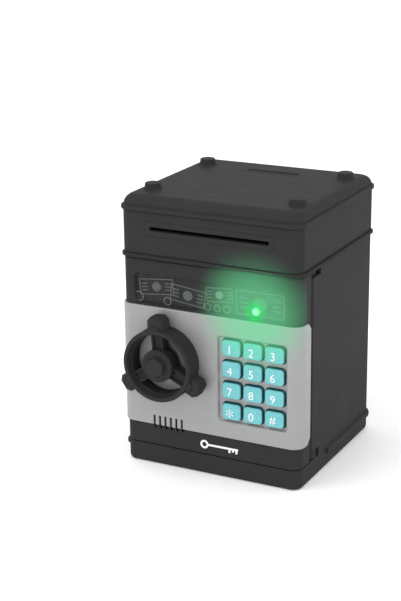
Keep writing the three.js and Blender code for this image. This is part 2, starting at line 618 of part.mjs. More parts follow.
// Toothed outline with straight-flanked teeth, the first tooth centred on angle `phase`.
function gearShape(teeth, module, phase) {
  const pitchR = teeth * module / 2;
  const rootR = pitchR - 1.15 * module;
  const tipR = pitchR + 0.8 * module;
  const step = 2 * Math.PI / teeth;
  const corners = [[rootR, -0.3], [tipR, -0.12], [tipR, 0.12], [rootR, 0.3]];
  const points = [];
  for (let i = 0; i < teeth; i++) {
    for (const [r, share] of corners) {
      const angle = phase + (i + share) * step;
      points.push(new THREE.Vector2(r * Math.cos(angle), r * Math.sin(angle)));
    }
  }
  return new THREE.Shape(points);
}

function knob() {
  const { x, z, ringR, ringBack, ringFront, hubR, hubFront } = KNOB;
  const rim = turned([[19, ringBack], [ringR - 0.8, ringBack], [ringR, ringBack + 0.8],
    [ringR, ringFront - 1], [ringR - 1, ringFront], [20.8, ringFront], [20.2, ringFront - 0.7],
    [19, ringBack]], x, FRONT, z, 36);
  const hub = turned([[0, PLATE.proud + GAP], [7, PLATE.proud + GAP], [hubR, 4], [hubR, hubFront - 0.8],
    [hubR - 0.8, hubFront], [0, hubFront]], x, FRONT, z, 20);
  const arms = LUG_ANGLES.flatMap((degrees) => {
    const spoke = new THREE.BoxGeometry(13, 7.5, 7);
    spoke.translate(14, 0, 7.5);
    const outline = new THREE.Shape([[21.5, -5.8], [28, -5.8], [30.6, -3.4], [30.6, 3.4],
      [28, 5.8], [21.5, 5.8]].map(([px, py]) => new THREE.Vector2(px, py)));
    const lug = new THREE.ExtrudeGeometry(outline, plain(9));
    lug.translate(0, 0, ringBack + 1);
    return [spoke, lug].map((geometry) => {
      geometry.rotateZ(THREE.MathUtils.degToRad(degrees));
      return facing(geometry, x, FRONT, z);
    });
  });
  const shaftTop = 8;
  const bores = [
    rod('y', SHAFT_R + 0.1, FRONT - shaftTop, FRONT, [x, z]),
    rod('y', HEX.shank + 0.2, -90, FRONT - shaftTop + 1, [x, z], 12),
  ];
  addPart('knob_wheel', 'charcoal', cut(join([rim, hub, ...arms]), bores));

  const hexMiddle = FRONT - (HEX.front + hubFront + 0.2) / 2;
  const hex = new THREE.CylinderGeometry(HEX.r, HEX.r - 0.5, HEX.front - hubFront - 0.2, 6);
  hex.rotateY(Math.PI / 6);
  hex.translate(x, hexMiddle, z);
  const shank = rod('y', HEX.shank, FRONT - hubFront - 1, FRONT - shaftTop - 0.3, [x, z], 12);
  addPart('knob_bolt', 'charcoal', solid(hex).add(shank));

  const shaft = rod('y', SHAFT_R, FRONT - shaftTop + 0.3, LATCH.back, [x, z]);
  const teeth = gearShape(LATCH.teeth, LATCH.module, -Math.PI / 2 + Math.PI / LATCH.teeth);
  const pinion = facing(
    new THREE.ExtrudeGeometry(teeth, plain(LATCH.back - LATCH.front)), x, LATCH.back, z);
  addPart('knob_shaft', 'latchPlastic', shaft.add(pinion));
}

function latch() {
  const { module, front, back, bottom, tip, tail } = LATCH;
  const pitchZ = KNOB.z - LATCH_PITCH_R;
  const rootZ = pitchZ - 1.15 * module;
  const step = Math.PI * module;
  const bar = box(tip, tail, front, back, bottom, rootZ);
  const teeth = [];
  for (let i = -1; i <= 3; i++) {
    const x = KNOB.x + i * step;
    const outline = [[-0.3 * step, -0.3], [-0.3 * step, 0], [-0.12 * step, 1.95 * module],
      [0.12 * step, 1.95 * module], [0.3 * step, 0], [0.3 * step, -0.3]];
    const shape = new THREE.Shape(outline.map(([px, py]) => new THREE.Vector2(px, py)));
    teeth.push(facing(new THREE.ExtrudeGeometry(shape, plain(back - front)), x, back, rootZ));
  }
  const notches = [PLUNGER.x, PLUNGER.x + LATCH_THROW].map((x) => (
    box(x - 2.2, x + 2.2, front - 1, back + 1, rootZ - 3.2, rootZ + 1)));
  addPart('latch_bolt', 'latchPlastic', cut(join([bar, ...teeth]), notches));

  const { half, bottom: coilBottom, top: coilTop } = SOLENOID;
  const middleY = (front + back) / 2;
  const frame = box(PLUNGER.x - half, PLUNGER.x + half, SOLENOID.front, SOLENOID.back, coilBottom, coilTop);
  const bore = rod('z', PLUNGER.r + 0.5, 0, 120, [PLUNGER.x, middleY], 16);
  addPart('solenoid', 'copper', frame.subtract(bore));
  const stem = rod('z', PLUNGER.r, PLUNGER.tip, PLUNGER.top, [PLUNGER.x, middleY], 16);
  const head = rod('z', 3.2, PLUNGER.top - 2, PLUNGER.top, [PLUNGER.x, middleY], 16);
  addPart('solenoid_plunger', 'steel', stem.add(head));

  const cover = box(-49.3, -17.3, DOOR_BACK + 0.1, -29, 58.5, 103);
  const hollow = box(-48.1, -18.1, DOOR_BACK - 1, -30.2, 59.7, 101.8);
  const mouth = box(-60, -40, front - 0.5, back + 0.5, bottom - 0.5, rootZ + 0.8);
  addPart('latch_cover', 'innerPlastic', cut(cover, [hollow, mouth]));
}

basePlate();
lowerHousing();
headShell();
topCover();
noteTray();
feeder();
motor();
doorShell();
faceplate();
keypad();
windowAndLed();
speaker();
doorBackCover();
batteries();
knob();
latch();

export default group;
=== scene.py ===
"""Looks of the toy cash-machine savings bank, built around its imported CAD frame.

Shapes are drawn in millimetres and turned into metres when a piece is finished.
+Z is up and the front faces -Y, as in the frame.
"""

import json
import math

import bmesh
import bpy
from mathutils import Matrix, Vector

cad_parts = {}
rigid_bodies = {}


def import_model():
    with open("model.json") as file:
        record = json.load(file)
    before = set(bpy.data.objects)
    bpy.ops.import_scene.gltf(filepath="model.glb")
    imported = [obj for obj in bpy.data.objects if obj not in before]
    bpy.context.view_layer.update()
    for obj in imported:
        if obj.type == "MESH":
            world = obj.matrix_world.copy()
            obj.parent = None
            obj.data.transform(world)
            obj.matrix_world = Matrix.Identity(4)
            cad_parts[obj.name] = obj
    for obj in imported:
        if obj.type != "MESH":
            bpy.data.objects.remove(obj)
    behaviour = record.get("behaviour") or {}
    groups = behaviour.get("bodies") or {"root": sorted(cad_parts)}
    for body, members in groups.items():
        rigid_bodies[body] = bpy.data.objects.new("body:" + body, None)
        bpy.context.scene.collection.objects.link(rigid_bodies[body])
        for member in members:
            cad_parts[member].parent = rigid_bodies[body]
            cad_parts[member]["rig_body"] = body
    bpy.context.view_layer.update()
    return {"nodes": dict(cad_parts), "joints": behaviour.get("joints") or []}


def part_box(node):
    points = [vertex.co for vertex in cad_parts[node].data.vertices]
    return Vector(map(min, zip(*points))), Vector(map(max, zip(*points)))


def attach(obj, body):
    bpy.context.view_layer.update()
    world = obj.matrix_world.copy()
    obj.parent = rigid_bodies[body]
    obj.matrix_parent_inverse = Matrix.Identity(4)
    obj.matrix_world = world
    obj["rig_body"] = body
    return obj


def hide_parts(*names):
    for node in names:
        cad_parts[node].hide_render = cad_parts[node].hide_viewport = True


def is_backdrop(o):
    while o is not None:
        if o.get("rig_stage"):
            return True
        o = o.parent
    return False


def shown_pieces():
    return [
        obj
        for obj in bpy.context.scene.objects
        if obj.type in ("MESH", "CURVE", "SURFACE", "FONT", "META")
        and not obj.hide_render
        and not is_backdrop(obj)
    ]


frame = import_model()

MM = 0.001


def span(node):
    """Lowest and highest corner of a CAD node, in millimetres."""
    low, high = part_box(node)
    return low / MM, high / MM


def middle(node):
    """The middle of a CAD node's box, in millimetres."""
    low, high = span(node)
    return (low + high) / 2


# ---- Measures, in millimetres ----

base_high = span("base_plate")[1]
housing_high = span("lower_housing")[1]
head_low, head_high = span("head_shell")
cover_low, cover_high = span("top_cover")
door_low, door_high = span("door_shell")
plate_low, plate_high = span("faceplate")
pane_low, pane_high = span("window_pane")
insert_low, insert_high = span("window_insert")
bezel_low, bezel_high = span("note_slot_bezel")
wheel_high = span("knob_wheel")[1]
bolt_low, bolt_high = span("knob_bolt")

joint_at = {j["name"]: Vector(j["pos_m"]) / MM for j in frame["joints"] if "pos_m" in j}
HINGE = joint_at["door_hinge"]
KNOB = joint_at["knob_turn"]
LED_AT = middle("status_led")
SPEAKER_AT = middle("speaker")

# The body and the head: rounded boxes with beads round them.
SIDE = door_high.x
FRONT = door_low.y
BACK = -FRONT
CORNER = 6.5
BEAD = housing_high.y - BACK
WALL = 2.5
SHELF_Z = door_low.z - 0.4
BODY_TOP = housing_high.z
HEAD_BOTTOM = head_low.z
HEAD_TOP = head_high.z
NOTE_SLOT_Z = 154.2
NOTE_SLOT_HALF = (39.7, 1.2)

# The lid: a rim, a shoulder up to the deck, four bosses and the coin slot.
RIM_TOP = 167.5
DECK_Z = 173.8
DECK_HALF = (54.5, 50.0)
DECK_CORNER = 4
LID_BOSS_AT = (48.5, 37.0)
COIN_SLOT_HALF = (17.5, 1.5)

# The hinge: a column of the body between the door's two knuckles.
HINGE_R = 6.0
UPPER_KNUCKLE_R = 4.8
COLUMN_R = 7.6
COLUMN_BOTTOM = 18.7
COLUMN_TOP = 130.7
NOTCH_BACK = -27.9
KNUCKLE_GAP = 0.3
KNUCKLE_BORE_R = 1.85
PIN_HOLE_R = 1.75

# Base screws: a pan head with a cross in it, sunk in a well, with a pilot hole in a boss above it.
SCREW_HEAD_R = 3.0
SCREW_HEAD_DEPTH = 1.4
SCREW_WELL_DEPTH = 1.9
SCREW_HOLE_R = 1.7
SCREW_PILOT_R = 1.5
SCREW_BOSS_R = 5
base_screws = [middle(f"base_screw_{i}") for i in range(1, 5)]

# The door, its silver plate and the keypad's recess (left, right, bottom and top).
DOOR_WALL = 2.0
DOOR_BACK = span("latch_cover")[0].y - 0.1
PLATE_PROUD = FRONT - plate_low.y
POCKET = (6.0, 52.5, 38.0, 93.6)
POCKET_DEPTH = 1.9
KEY_NAMES = ["1", "2", "3", "4", "5", "6", "7", "8", "9", "star", "0", "hash"]
KEY_SIZE = (12.4, 10.2)
KEY_CORNER = 2.2
KEY_GAP = 0.65
PRINT_THICKNESS = 0.12
GRILLE = {"count": 6, "pitch": 3.85, "half": 0.72, "bottom": 25.0, "top": 34.0}
LED_HOLE_R = 2.7
LED_CLEARANCE_R = 3.4
LAMP_R = 2.5
DOOR_SHAFT_HOLE_R = 3.5
PLATE_SHAFT_HOLE_R = 4

# The hand wheel, measured outwards from the door's front.
LUG_ANGLES = (94, -26, -146)
RING_FRONT = 15.4
HUB_FRONT = 14.4
BOLT_R = 6.5

# The relief behind the window: notes (x, z, width, height, tilt, height of relief), coins (x, z, radius).
RELIEF_ROOT = 0.3
NOTES = (
    (-36.5, 117.5, 25, 11.5, 6, 0.2),
    (-15, 114.5, 25, 12, -7, 0.28),
    (6.5, 118, 19, 10.5, 4, 0.36),
    (33.5, 115.6, 33, 16.5, 0, 0.32),
)
COINS = ((-49, 110, 3.4), (-29, 109.3, 2.8), (-1.5, 109.4, 2.6), (5, 109.3, 2.4), (11.5, 109.6, 2.6))
STRIPES = {"count": 7, "start": 38, "pitch": 1.6, "width": 0.6, "bottom": 118, "top": 121.5}

# The lamp's glow, painted into the emission and colour of the pieces round it: a wide glow and a tight halo
# of painted light, each full out to one distance and gone at another.
# A painted tint darkens and greens what is under the painted glow, and the colour is the painted light that
# it adds.
BLOOM_AT = (LED_AT.x - 0.8, LED_AT.z)
BLOOM_FULL = 12
BLOOM_REACH = 42
BLOOM_DEPTH = 2
PAINTED_GLOW_TINT = (0.32, 0.63, 0.45)
PAINTED_GLOW_COLOUR = (0.088, 0.374, 0.175)
HALO_FULL = 3.0
HALO_REACH = 9.5
PAINTED_HALO_TINT = (0.1, 0.3, 0.2)
PAINTED_HALO_COLOUR = (0.03, 0.68, 0.15)
GLOW_STANDOFF = 60

# Looks.
CHARCOAL = (0.031, 0.031, 0.0315)
DUST = (0.35, 0.35, 0.34)
SATIN = 0.04

# How finely things are drawn, and how far cutters reach.
CORNER_STEPS = 12
BEVEL_ANGLE = math.radians(50)
WELD = 0.002
CAD_WELD = 0.01
OUT = 80
FRONT_CUT = (-70, -50)


# ---- Mesh helpers, in millimetres ----

def new_object(name, data):
    """Puts a mesh, light or camera into the scene."""
    obj = bpy.data.objects.new(name, data)
    bpy.context.scene.collection.objects.link(obj)
    return obj


def mesh_object(name, bm):
    mesh = bpy.data.meshes.new(name)
    bmesh.ops.recalc_face_normals(bm, faces=bm.faces)
    bm.to_mesh(mesh)
    bm.free()
    return new_object(name, mesh)


def loft(rings, closed=False):
    """A skin through rings of equally many points: capped at both ends, or closed into a loop."""
    bm = bmesh.new()
    loops = [[bm.verts.new(p) for p in points] for points in rings]
    pairs = list(zip(loops, loops[1:]))
    if closed:
        pairs.append((loops[-1], loops[0]))
    for low, high in pairs:
        for i in range(len(low)):
            j = (i + 1) % len(low)
            bm.faces.new((low[i], low[j], high[j], high[i]))
    if not closed:
        bm.faces.new(list(reversed(loops[0])))
        bm.faces.new(loops[-1])
    return mesh_object("tool", bm)


def ring(half_x, half_y, radius, z, steps=CORNER_STEPS):
    """A rounded rectangle round the origin at height z, anticlockwise seen from above."""
    radius = max(radius, 0.01)
    points = []
    for sx, sy, start in ((1, -1, -90), (1, 1, 0), (-1, 1, 90), (-1, -1, 180)):
        for i in range(steps + 1):
            angle = math.radians(start + 90 * i / steps)
            x = sx * (half_x - radius) + radius * math.cos(angle)
            y = sy * (half_y - radius) + radius * math.sin(angle)
            points.append(Vector((x, y, z)))
    return points


def body_ring(offset, z):
    """The body's plan outline grown by offset, at height z."""
    return ring(SIDE + offset, BACK + offset, CORNER + offset, z)


def stacked(profile):
    """A solid of body outlines, from (how far each is grown, its height)."""
    return loft([body_ring(offset, z) for offset, z in profile])


def circle(radius, height, segments):
    """Points round the origin at one height."""
    angles = [2 * math.pi / segments * i for i in range(segments)]
    return [Vector((radius * math.cos(a), radius * math.sin(a), height)) for a in angles]


def facing(rings, at):
    """Turns rings drawn facing the viewer (x right, y up, z outwards) onto the front, at a point."""
    return [[Vector((at[0] + p.x, at[1] - p.z, at[2] + p.y)) for p in points] for points in rings]


def block(x0, x1, y0, y1, z0, z1):
    """A plain box."""
    corners = ((x0, y0), (x1, y0), (x1, y1), (x0, y1))
    return loft([[Vector((x, y, z)) for x, y in corners] for z in (z0, z1)])


def panel(x0, x1, z0, z1, y_front, y_back, radius, steps=6):
    """A plate with rounded corners that faces the front."""
    half_x, half_z = (x1 - x0) / 2, (z1 - z0) / 2
    rings = [ring(half_x, half_z, radius, h, steps) for h in (0, y_back - y_front)]
    return loft(facing(rings, ((x0 + x1) / 2, y_back, (z0 + z1) / 2)))


def rod(axis, radius, start, end, at, segments=48):
    """A round bar along y or z; at holds its centre in the other two axes, in x, y, z order."""
    rings = []
    for along in (start, end):
        points = circle(radius, along, segments)
        if axis == "y":
            rings.append([Vector((at[0] + p.x, p.z, at[1] - p.y)) for p in points])
        else:
            rings.append([Vector((at[0] + p.x, at[1] + p.y, p.z)) for p in points])
    return loft(rings)


def front_hole(radius, at):
    """A round cutter through the door's front."""
    return rod("y", radius, *FRONT_CUT, (at.x, at.z))


def front_opening(left, right, bottom, top, grow, depth, radius):
    """A cutter into the front for a rounded rectangle, grown all round."""
    return panel(left - grow, right + grow, bottom - grow, top + grow, FRONT - 2, FRONT + depth, radius)


def turned(profile, at, segments, closed=False):
    """A turned piece on the front; profile points are (radius, height outwards)."""
    return loft(facing([circle(r, h, segments) for r, h in profile], at), closed)


def swung(obj, degrees, at):
    """Turns a shape anticlockwise, seen from the front, about the front-to-back line through a point."""
    about = Matrix.Translation(Vector(at))
    obj.data.transform(about @ Matrix.Rotation(-math.radians(degrees), 4, "Y") @ about.inverted())
    return obj


def bake(obj):
    """Applies the modifiers."""
    bpy.context.view_layer.update()
    result = obj.evaluated_get(bpy.context.evaluated_depsgraph_get())
    mesh = bpy.data.meshes.new_from_object(result)
    obj.modifiers.clear()
    obj.data = mesh
    return obj


def combine(obj, tools, operation):
    """Joins the tools to a shape or cuts them from it, and uses them up."""
    for tool in tools:
        step = obj.modifiers.new(operation, "BOOLEAN")
        step.operation = operation
        step.solver = "EXACT"
        step.object = tool
    bake(obj)
    for tool in tools:
        bpy.data.objects.remove(tool)
    return obj


def join(obj, tools):
    return combine(obj, tools, "UNION")


def cut(obj, tools):
    return combine(obj, tools, "DIFFERENCE")


def gather(objects):
    """One object from several separate shapes."""
    bm = bmesh.new()
    for obj in objects:
        bm.from_mesh(obj.data)
        bpy.data.objects.remove(obj)
    return mesh_object("tool", bm)


def piece(obj, name, body, material, bevel, replaces=(), weld=WELD):
    """Finishes a shape: metres, rounded edges, smooth shading, material, body and slot."""
    bm = bmesh.new()
    bm.from_mesh(obj.data)
    bmesh.ops.remove_doubles(bm, verts=bm.verts, dist=weld)
    bmesh.ops.dissolve_limit(bm, angle_limit=math.radians(0.3), verts=bm.verts, edges=bm.edges)
    bm.to_mesh(obj.data)
    bm.free()
    obj.name = name
    obj.data.name = name
    obj.data.transform(Matrix.Scale(MM, 4))
    obj.data.polygons.foreach_set("use_smooth", [True] * len(obj.data.polygons))
    if bevel:
        rounding = obj.modifiers.new("rounded edges", "BEVEL")
        rounding.width = bevel * MM
        rounding.segments = 2
        rounding.limit_method = "ANGLE"
        rounding.angle_limit = BEVEL_ANGLE
        rounding.use_clamp_overlap = False
    even = obj.modifiers.new("even normals", "WEIGHTED_NORMAL")
    even.keep_sharp = True
    obj.data.materials.clear()
    obj.data.materials.append(material)
    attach(obj, body)
    if replaces:
        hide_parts(*replaces)


# ---- Materials ----

class Nodes:
    """A small builder for one material's node tree."""

    def __init__(self, name):
        self.material = bpy.data.materials.new(name)
        self.material.use_nodes = True
        self.tree = self.material.node_tree
        self.shader = self.tree.nodes["Principled BSDF"]
        self.place = self.add("ShaderNodeTexCoord").outputs["Object"]

    def add(self, kind, **settings):
        node = self.tree.nodes.new(kind)
        for key, value in settings.items():
            setattr(node, key, value)
        return node

    def link(self, source, target):
        self.tree.links.new(source, target)

    def feed(self, socket, value):
        """Gives a socket a number, a colour or what another node puts out."""
        if isinstance(value, bpy.types.NodeSocket):
            self.link(value, socket)
        elif isinstance(value, tuple):
            socket.default_value = (*value, 1)
        else:
            socket.default_value = value

    def scaled(self, stretch):
        """The place on the piece, scaled along each axis."""
        node = self.add("ShaderNodeVectorMath", operation="MULTIPLY")
        self.link(self.place, node.inputs[0])
        node.inputs[1].default_value = stretch
        return node.outputs["Vector"]

    def along(self, axis):
        """The place on the piece along one axis, in metres."""
        split = self.add("ShaderNodeSeparateXYZ")
        self.link(self.place, split.inputs["Vector"])
        return split.outputs[axis]

    def distance(self, place, point):
        """How far a place is from a point, in metres; the point is in millimetres."""
        node = self.add("ShaderNodeVectorMath", operation="DISTANCE")
        self.link(place, node.inputs[0])
        node.inputs[1].default_value = point * MM
        return node.outputs["Value"]

    def noise(self, feature_mm, detail=3.0, stretch=None):
        """Noise whose features are about that many millimetres across."""
        node = self.add("ShaderNodeTexNoise")
        node.inputs["Scale"].default_value = 1 / (feature_mm * MM)
        node.inputs["Detail"].default_value = detail
        self.link(self.scaled(stretch) if stretch else self.place, node.inputs["Vector"])
        return node.outputs["Fac"]

    def cells(self, feature_mm):
        """Irregular cells about that many millimetres across."""
        node = self.add("ShaderNodeTexVoronoi")
        node.inputs["Scale"].default_value = 1 / (feature_mm * MM)
        self.link(self.place, node.inputs["Vector"])
        return node

    def ranged(self, value, low, high, start=0.3, end=0.7, falloff="LINEAR"):
        """Maps a value from start..end to low..high."""
        node = self.add("ShaderNodeMapRange", interpolation_type=falloff)
        for key, number in (("From Min", start), ("From Max", end), ("To Min", low), ("To Max", high)):
            node.inputs[key].default_value = number
        self.link(value, node.inputs["Value"])
        return node.outputs["Result"]

    def plus(self, first, second):
        node = self.add("ShaderNodeMath", operation="ADD")
        self.link(first, node.inputs[0])
        self.link(second, node.inputs[1])
        return node.outputs["Value"]

    def blend(self, factor, first, second, kind="MIX"):
        """A colour between two colours, or their product."""
        node = self.add("ShaderNodeMix", data_type="RGBA", blend_type=kind)
        colours = [socket for socket in node.inputs if socket.type == "RGBA"]
        for socket, value in zip((node.inputs["Factor"], *colours), (factor, first, second)):
            self.feed(socket, value)
        return next(socket for socket in node.outputs if socket.type == "RGBA")

    def bump(self, height, depth_mm):
        """Adds relief to the surface, on top of any that it has already."""
        node = self.add("ShaderNodeBump")
        node.inputs["Distance"].default_value = depth_mm * MM
        node.inputs["Strength"].default_value = 1.0
        self.link(height, node.inputs["Height"])
        previous = self.shader.inputs["Normal"].links
        if previous:
            self.link(previous[0].from_socket, node.inputs["Normal"])
        self.link(node.outputs["Normal"], self.shader.inputs["Normal"])

    def colour(self, source):
        self.link(source, self.shader.inputs["Base Color"])

    def roughness(self, source):
        self.link(source, self.shader.inputs["Roughness"])

    def fading(self, distance, full_mm, reach_mm):
        """1 up to one distance, falling smoothly to 0 at another."""
        return self.ranged(distance, 0, 1, reach_mm * MM, full_mm * MM, "SMOOTHSTEP")

    def painted_glow(self, base):
        """Painted light round the status lamp: a green glow put into the emission and a painted tint over the
        colour, for pieces that move with it.
        """
        centre = Vector((BLOOM_AT[0], BLOOM_DEPTH * FRONT, BLOOM_AT[1]))
        away = self.distance(self.scaled((1, BLOOM_DEPTH, 1)), centre)
        haze = self.fading(away, BLOOM_FULL, BLOOM_REACH)
        halo = self.fading(away, HALO_FULL, HALO_REACH)
        self.link(self.blend(halo, PAINTED_GLOW_COLOUR, PAINTED_HALO_COLOUR), self.shader.inputs["Emission Color"])
        self.link(haze, self.shader.inputs["Emission Strength"])
        # Painted shade and tint: under the painted glow the colour is darkened and turned green.
        painted_tint = self.blend(haze, (1.0, 1.0, 1.0), self.blend(halo, PAINTED_GLOW_TINT, PAINTED_HALO_TINT))
        return self.blend(1.0, base, painted_tint, "MULTIPLY")

    def set(self, **values):
        """Sets shader inputs to plain numbers."""
        for key, value in values.items():
            self.shader.inputs[key.replace("_", " ")].default_value = value


def shade(colour, factor):
    """A colour made lighter or darker."""
    return tuple(min(1.0, c * factor) for c in colour)


def moulded(name, colour, rough, grain_mm=0.35, grain_depth=0.006, variation=0.04, dust=0.02, lit=False):
    """Moulded plastic: a fine eroded grain, slow colour drift, handling marks and specks of dust, and with
    lit the lamp's painted glow.
    """
    n = Nodes(name)
    drift = n.ranged(n.noise(28, 2), 0, 1)
    base = n.blend(drift, shade(colour, 1 - variation), shade(colour, 1 + variation))
    specks = n.ranged(n.noise(1.1, 5), 0, dust, 0.58, 0.72)
    dusty = n.blend(specks, base, DUST)
    # With lit, the lamp's painted light and painted tint go into the colour.
    n.colour(n.painted_glow(dusty) if lit else dusty)
    grain = n.noise(grain_mm, 2)
    smears = n.ranged(n.noise(11, 4), rough - 0.02, rough + 0.025)
    n.roughness(n.plus(smears, n.ranged(grain, -0.03, 0.03)))
    n.bump(grain, grain_depth)
    n.set(Specular_IOR_Level=SATIN)
    return n.material


def silver_paint():
    """Silver lacquer over moulded plastic: fine flakes, a slight orange peel and faint rubbing marks."""
    n = Nodes("silver paint")
    colour = (0.325, 0.325, 0.329)
    flakes = n.cells(0.22)
    glint = n.add("ShaderNodeSeparateColor")
    n.link(flakes.outputs["Color"], glint.inputs["Color"])
    base = n.blend(n.ranged(glint.outputs["Red"], 0, 1, 0, 1), shade(colour, 0.9), shade(colour, 1.1))
    drift = n.ranged(n.noise(30, 2), 0.0, 0.5)
    # The lamp's painted glow goes over the paint's colour.
    n.colour(n.painted_glow(n.blend(drift, base, shade(colour, 0.93))))
    rubbed = n.ranged(n.noise(5, 5, (0.25, 1, 1)), 0.36, 0.5)
    n.roughness(n.plus(rubbed, n.ranged(glint.outputs["Green"], -0.04, 0.04, 0, 1)))
    n.bump(n.noise(1.6, 2), 0.01)
    n.bump(flakes.outputs["Distance"], 0.002)
    n.set(Metallic=0.3)
    return n.material


def silicone_key():
    """Soft silicone: matt, dusty on top, with painted shade darkening its flanks."""
    n = Nodes("silicone key")
    colour = (0.16, 0.49, 0.52)
    base = n.blend(n.ranged(n.noise(3, 3), 0, 1), shade(colour, 0.94), shade(colour, 1.06))
    dust = n.ranged(n.noise(0.7, 4), 0, 0.18, 0.45, 0.75)
    dusty = n.blend(dust, base, (0.33, 0.58, 0.61))
    # Painted shade: the sides and the flange behind darken to deep teal, standing in for the shade in the gap
    # round each key; the lamp's painted glow goes on top.
    face = span("key_1")[0].y
    painted_flank_shade = n.ranged(n.along("Y"), 0, 1, (face + 0.7) * MM, (face + 1.6) * MM)
    n.colour(n.painted_glow(n.blend(painted_flank_shade, dusty, (0.01, 0.09, 0.1))))
    n.roughness(n.ranged(n.noise(1.5, 3), 0.5, 0.62))
    n.bump(n.noise(0.3, 2), 0.008)
    n.set(Specular_IOR_Level=0.2)
    return n.material


def smoked_acrylic():
    """Smoked clear window with faint wiping marks."""
    n = Nodes("smoked acrylic")
    base = n.blend(n.ranged(n.noise(12, 3), 0, 1), (0.018, 0.02, 0.02), (0.03, 0.034, 0.033))
    # The lamp's painted glow goes over the smoked colour.
    n.colour(n.painted_glow(base))
    wipes = n.noise(2.5, 5, (0.3, 1, 1))
    n.roughness(n.ranged(wipes, 0.08, 0.2))
    n.bump(n.noise(20, 1), 0.02)
    n.set(Alpha=0.25, IOR=1.3)
    return n.material


def relief_with_painted_light():
    """Dark moulding behind the window, with painted light making it pale where it stands proud."""
    n = Nodes("lit relief")
    face = insert_low.y
    # Painted light: the faces that stand proud are made pale, as if lit by the lamp; the lamp's painted glow
    # goes on top.
    raised = n.ranged(n.along("Y"), 1, 0, (face - 0.52) * MM, (face - 0.42) * MM)
    base = n.blend(raised, (0.012, 0.013, 0.012), (0.26, 0.28, 0.27))
    dusty = n.blend(n.ranged(n.noise(6, 3), 0, 0.2), base, (0.06, 0.065, 0.06))
    n.colour(n.painted_glow(dusty))
    n.roughness(n.ranged(n.noise(1.2, 3), 0.4, 0.55))
    n.bump(n.noise(0.4, 2), 0.01)
    return n.material


def lamp():
    """The glowing green lens: palest at its centre, deeper at its rim."""
    n = Nodes("green lamp")
    tip = Vector((LED_AT.x, span("status_led")[0].y, LED_AT.z))
    rim = n.ranged(n.distance(n.place, tip), 0, 1, 1.6 * MM, 3.2 * MM)
    glow = n.blend(rim, (0.36, 0.95, 0.56), (0.10, 0.80, 0.30))
    n.link(glow, n.shader.inputs["Emission Color"])
    n.set(Emission_Strength=1.0)
    n.colour(n.blend(n.ranged(n.noise(1.2, 2), 0, 1), (0.01, 0.05, 0.02), (0.02, 0.08, 0.035)))
    n.roughness(n.ranged(n.noise(1, 2), 0.15, 0.3))
    n.bump(n.noise(0.6, 2), 0.004)
    return n.material


def steel():
    """Turned steel with fine drawing lines and a few dull spots."""
    n = Nodes("steel")
    lines = n.noise(0.5, 3, (1, 1, 0.08))
    n.colour(n.blend(n.ranged(n.noise(3, 3), 0, 1), (0.42, 0.43, 0.44), (0.56, 0.57, 0.58)))
    n.roughness(n.ranged(lines, 0.22, 0.42))
    n.bump(lines, 0.004)
    n.set(Metallic=1.0)
    return n.material


def rubber():
    """Matt black rubber with a fine grain."""
    n = Nodes("rubber")
    n.colour(n.blend(n.ranged(n.noise(2, 4), 0, 1), (0.012, 0.012, 0.012), (0.024, 0.024, 0.024)))
    n.roughness(n.ranged(n.noise(0.8, 3), 0.7, 0.9))
    n.bump(n.noise(0.35, 3), 0.02)
    return n.material


def circuit_board():
    """Green solder mask over faint copper traces, with pale dots of solder."""
    n = Nodes("circuit board")
    traces = n.add("ShaderNodeTexBrick")
    traces.inputs["Scale"].default_value = 1 / (9 * MM)
    traces.inputs["Mortar Size"].default_value = 0.06
    n.link(n.place, traces.inputs["Vector"])
    base = n.blend(traces.outputs["Fac"], (0.012, 0.10, 0.035), (0.03, 0.19, 0.07))
    dots = n.cells(3)
    n.colour(n.blend(n.ranged(dots.outputs["Distance"], 1, 0, 0.12, 0.16), base, (0.5, 0.5, 0.48)))
    n.roughness(n.ranged(n.noise(2, 3), 0.25, 0.45))
    n.bump(traces.outputs["Fac"], 0.03)
    return n.material


def wound_copper():
    """Lacquered copper wire laid in close turns."""
    n = Nodes("wound copper")
    turns = n.add("ShaderNodeTexWave", wave_type="BANDS", bands_direction="Z")
    turns.inputs["Scale"].default_value = 300
    turns.inputs["Distortion"].default_value = 0.6
    n.link(n.place, turns.inputs["Vector"])
    n.colour(n.blend(turns.outputs["Fac"], (0.22, 0.07, 0.02), (0.62, 0.25, 0.09)))
    n.roughness(n.ranged(n.noise(1, 3), 0.25, 0.4))
    n.bump(turns.outputs["Fac"], 0.12)
    n.set(Metallic=0.8)
    return n.material


def battery_wrap():
    """Printed foil sleeve: a dark body with one paler band towards its right end."""
    n = Nodes("battery wrap")
    band = n.ranged(n.along("X"), 0, 1, 19.5 * MM, 20 * MM)
    n.colour(n.blend(band, (0.02, 0.07, 0.17), (0.45, 0.36, 0.16)))
    n.roughness(n.ranged(n.noise(3, 4), 0.22, 0.38))
    n.bump(n.noise(5, 3), 0.02)
    n.set(Metallic=0.4)
    return n.material


charcoal = moulded("charcoal plastic", CHARCOAL, 0.55)
# Charcoal with the lamp's painted glow, for the door.
charcoal_painted_glow = moulded("charcoal plastic by the lamp", CHARCOAL, 0.55, lit=True)
inner = moulded("inner plastic", (0.045, 0.045, 0.047), 0.55, grain_mm=0.5, variation=0.08)
white = moulded("white plastic", (0.74, 0.73, 0.69), 0.42, grain_mm=0.5, dust=0.0)
print_white = moulded("white print", (0.86, 0.87, 0.87), 0.5, grain_mm=0.2, grain_depth=0.004, dust=0.0)
silver = silver_paint()
silicone = silicone_key()
acrylic = smoked_acrylic()
relief = relief_with_painted_light()
green_lamp = lamp()
bright_steel = steel()
black_rubber = rubber()
board = circuit_board()
copper = wound_copper()
foil = battery_wrap()


# ---- Base and lower housing ----

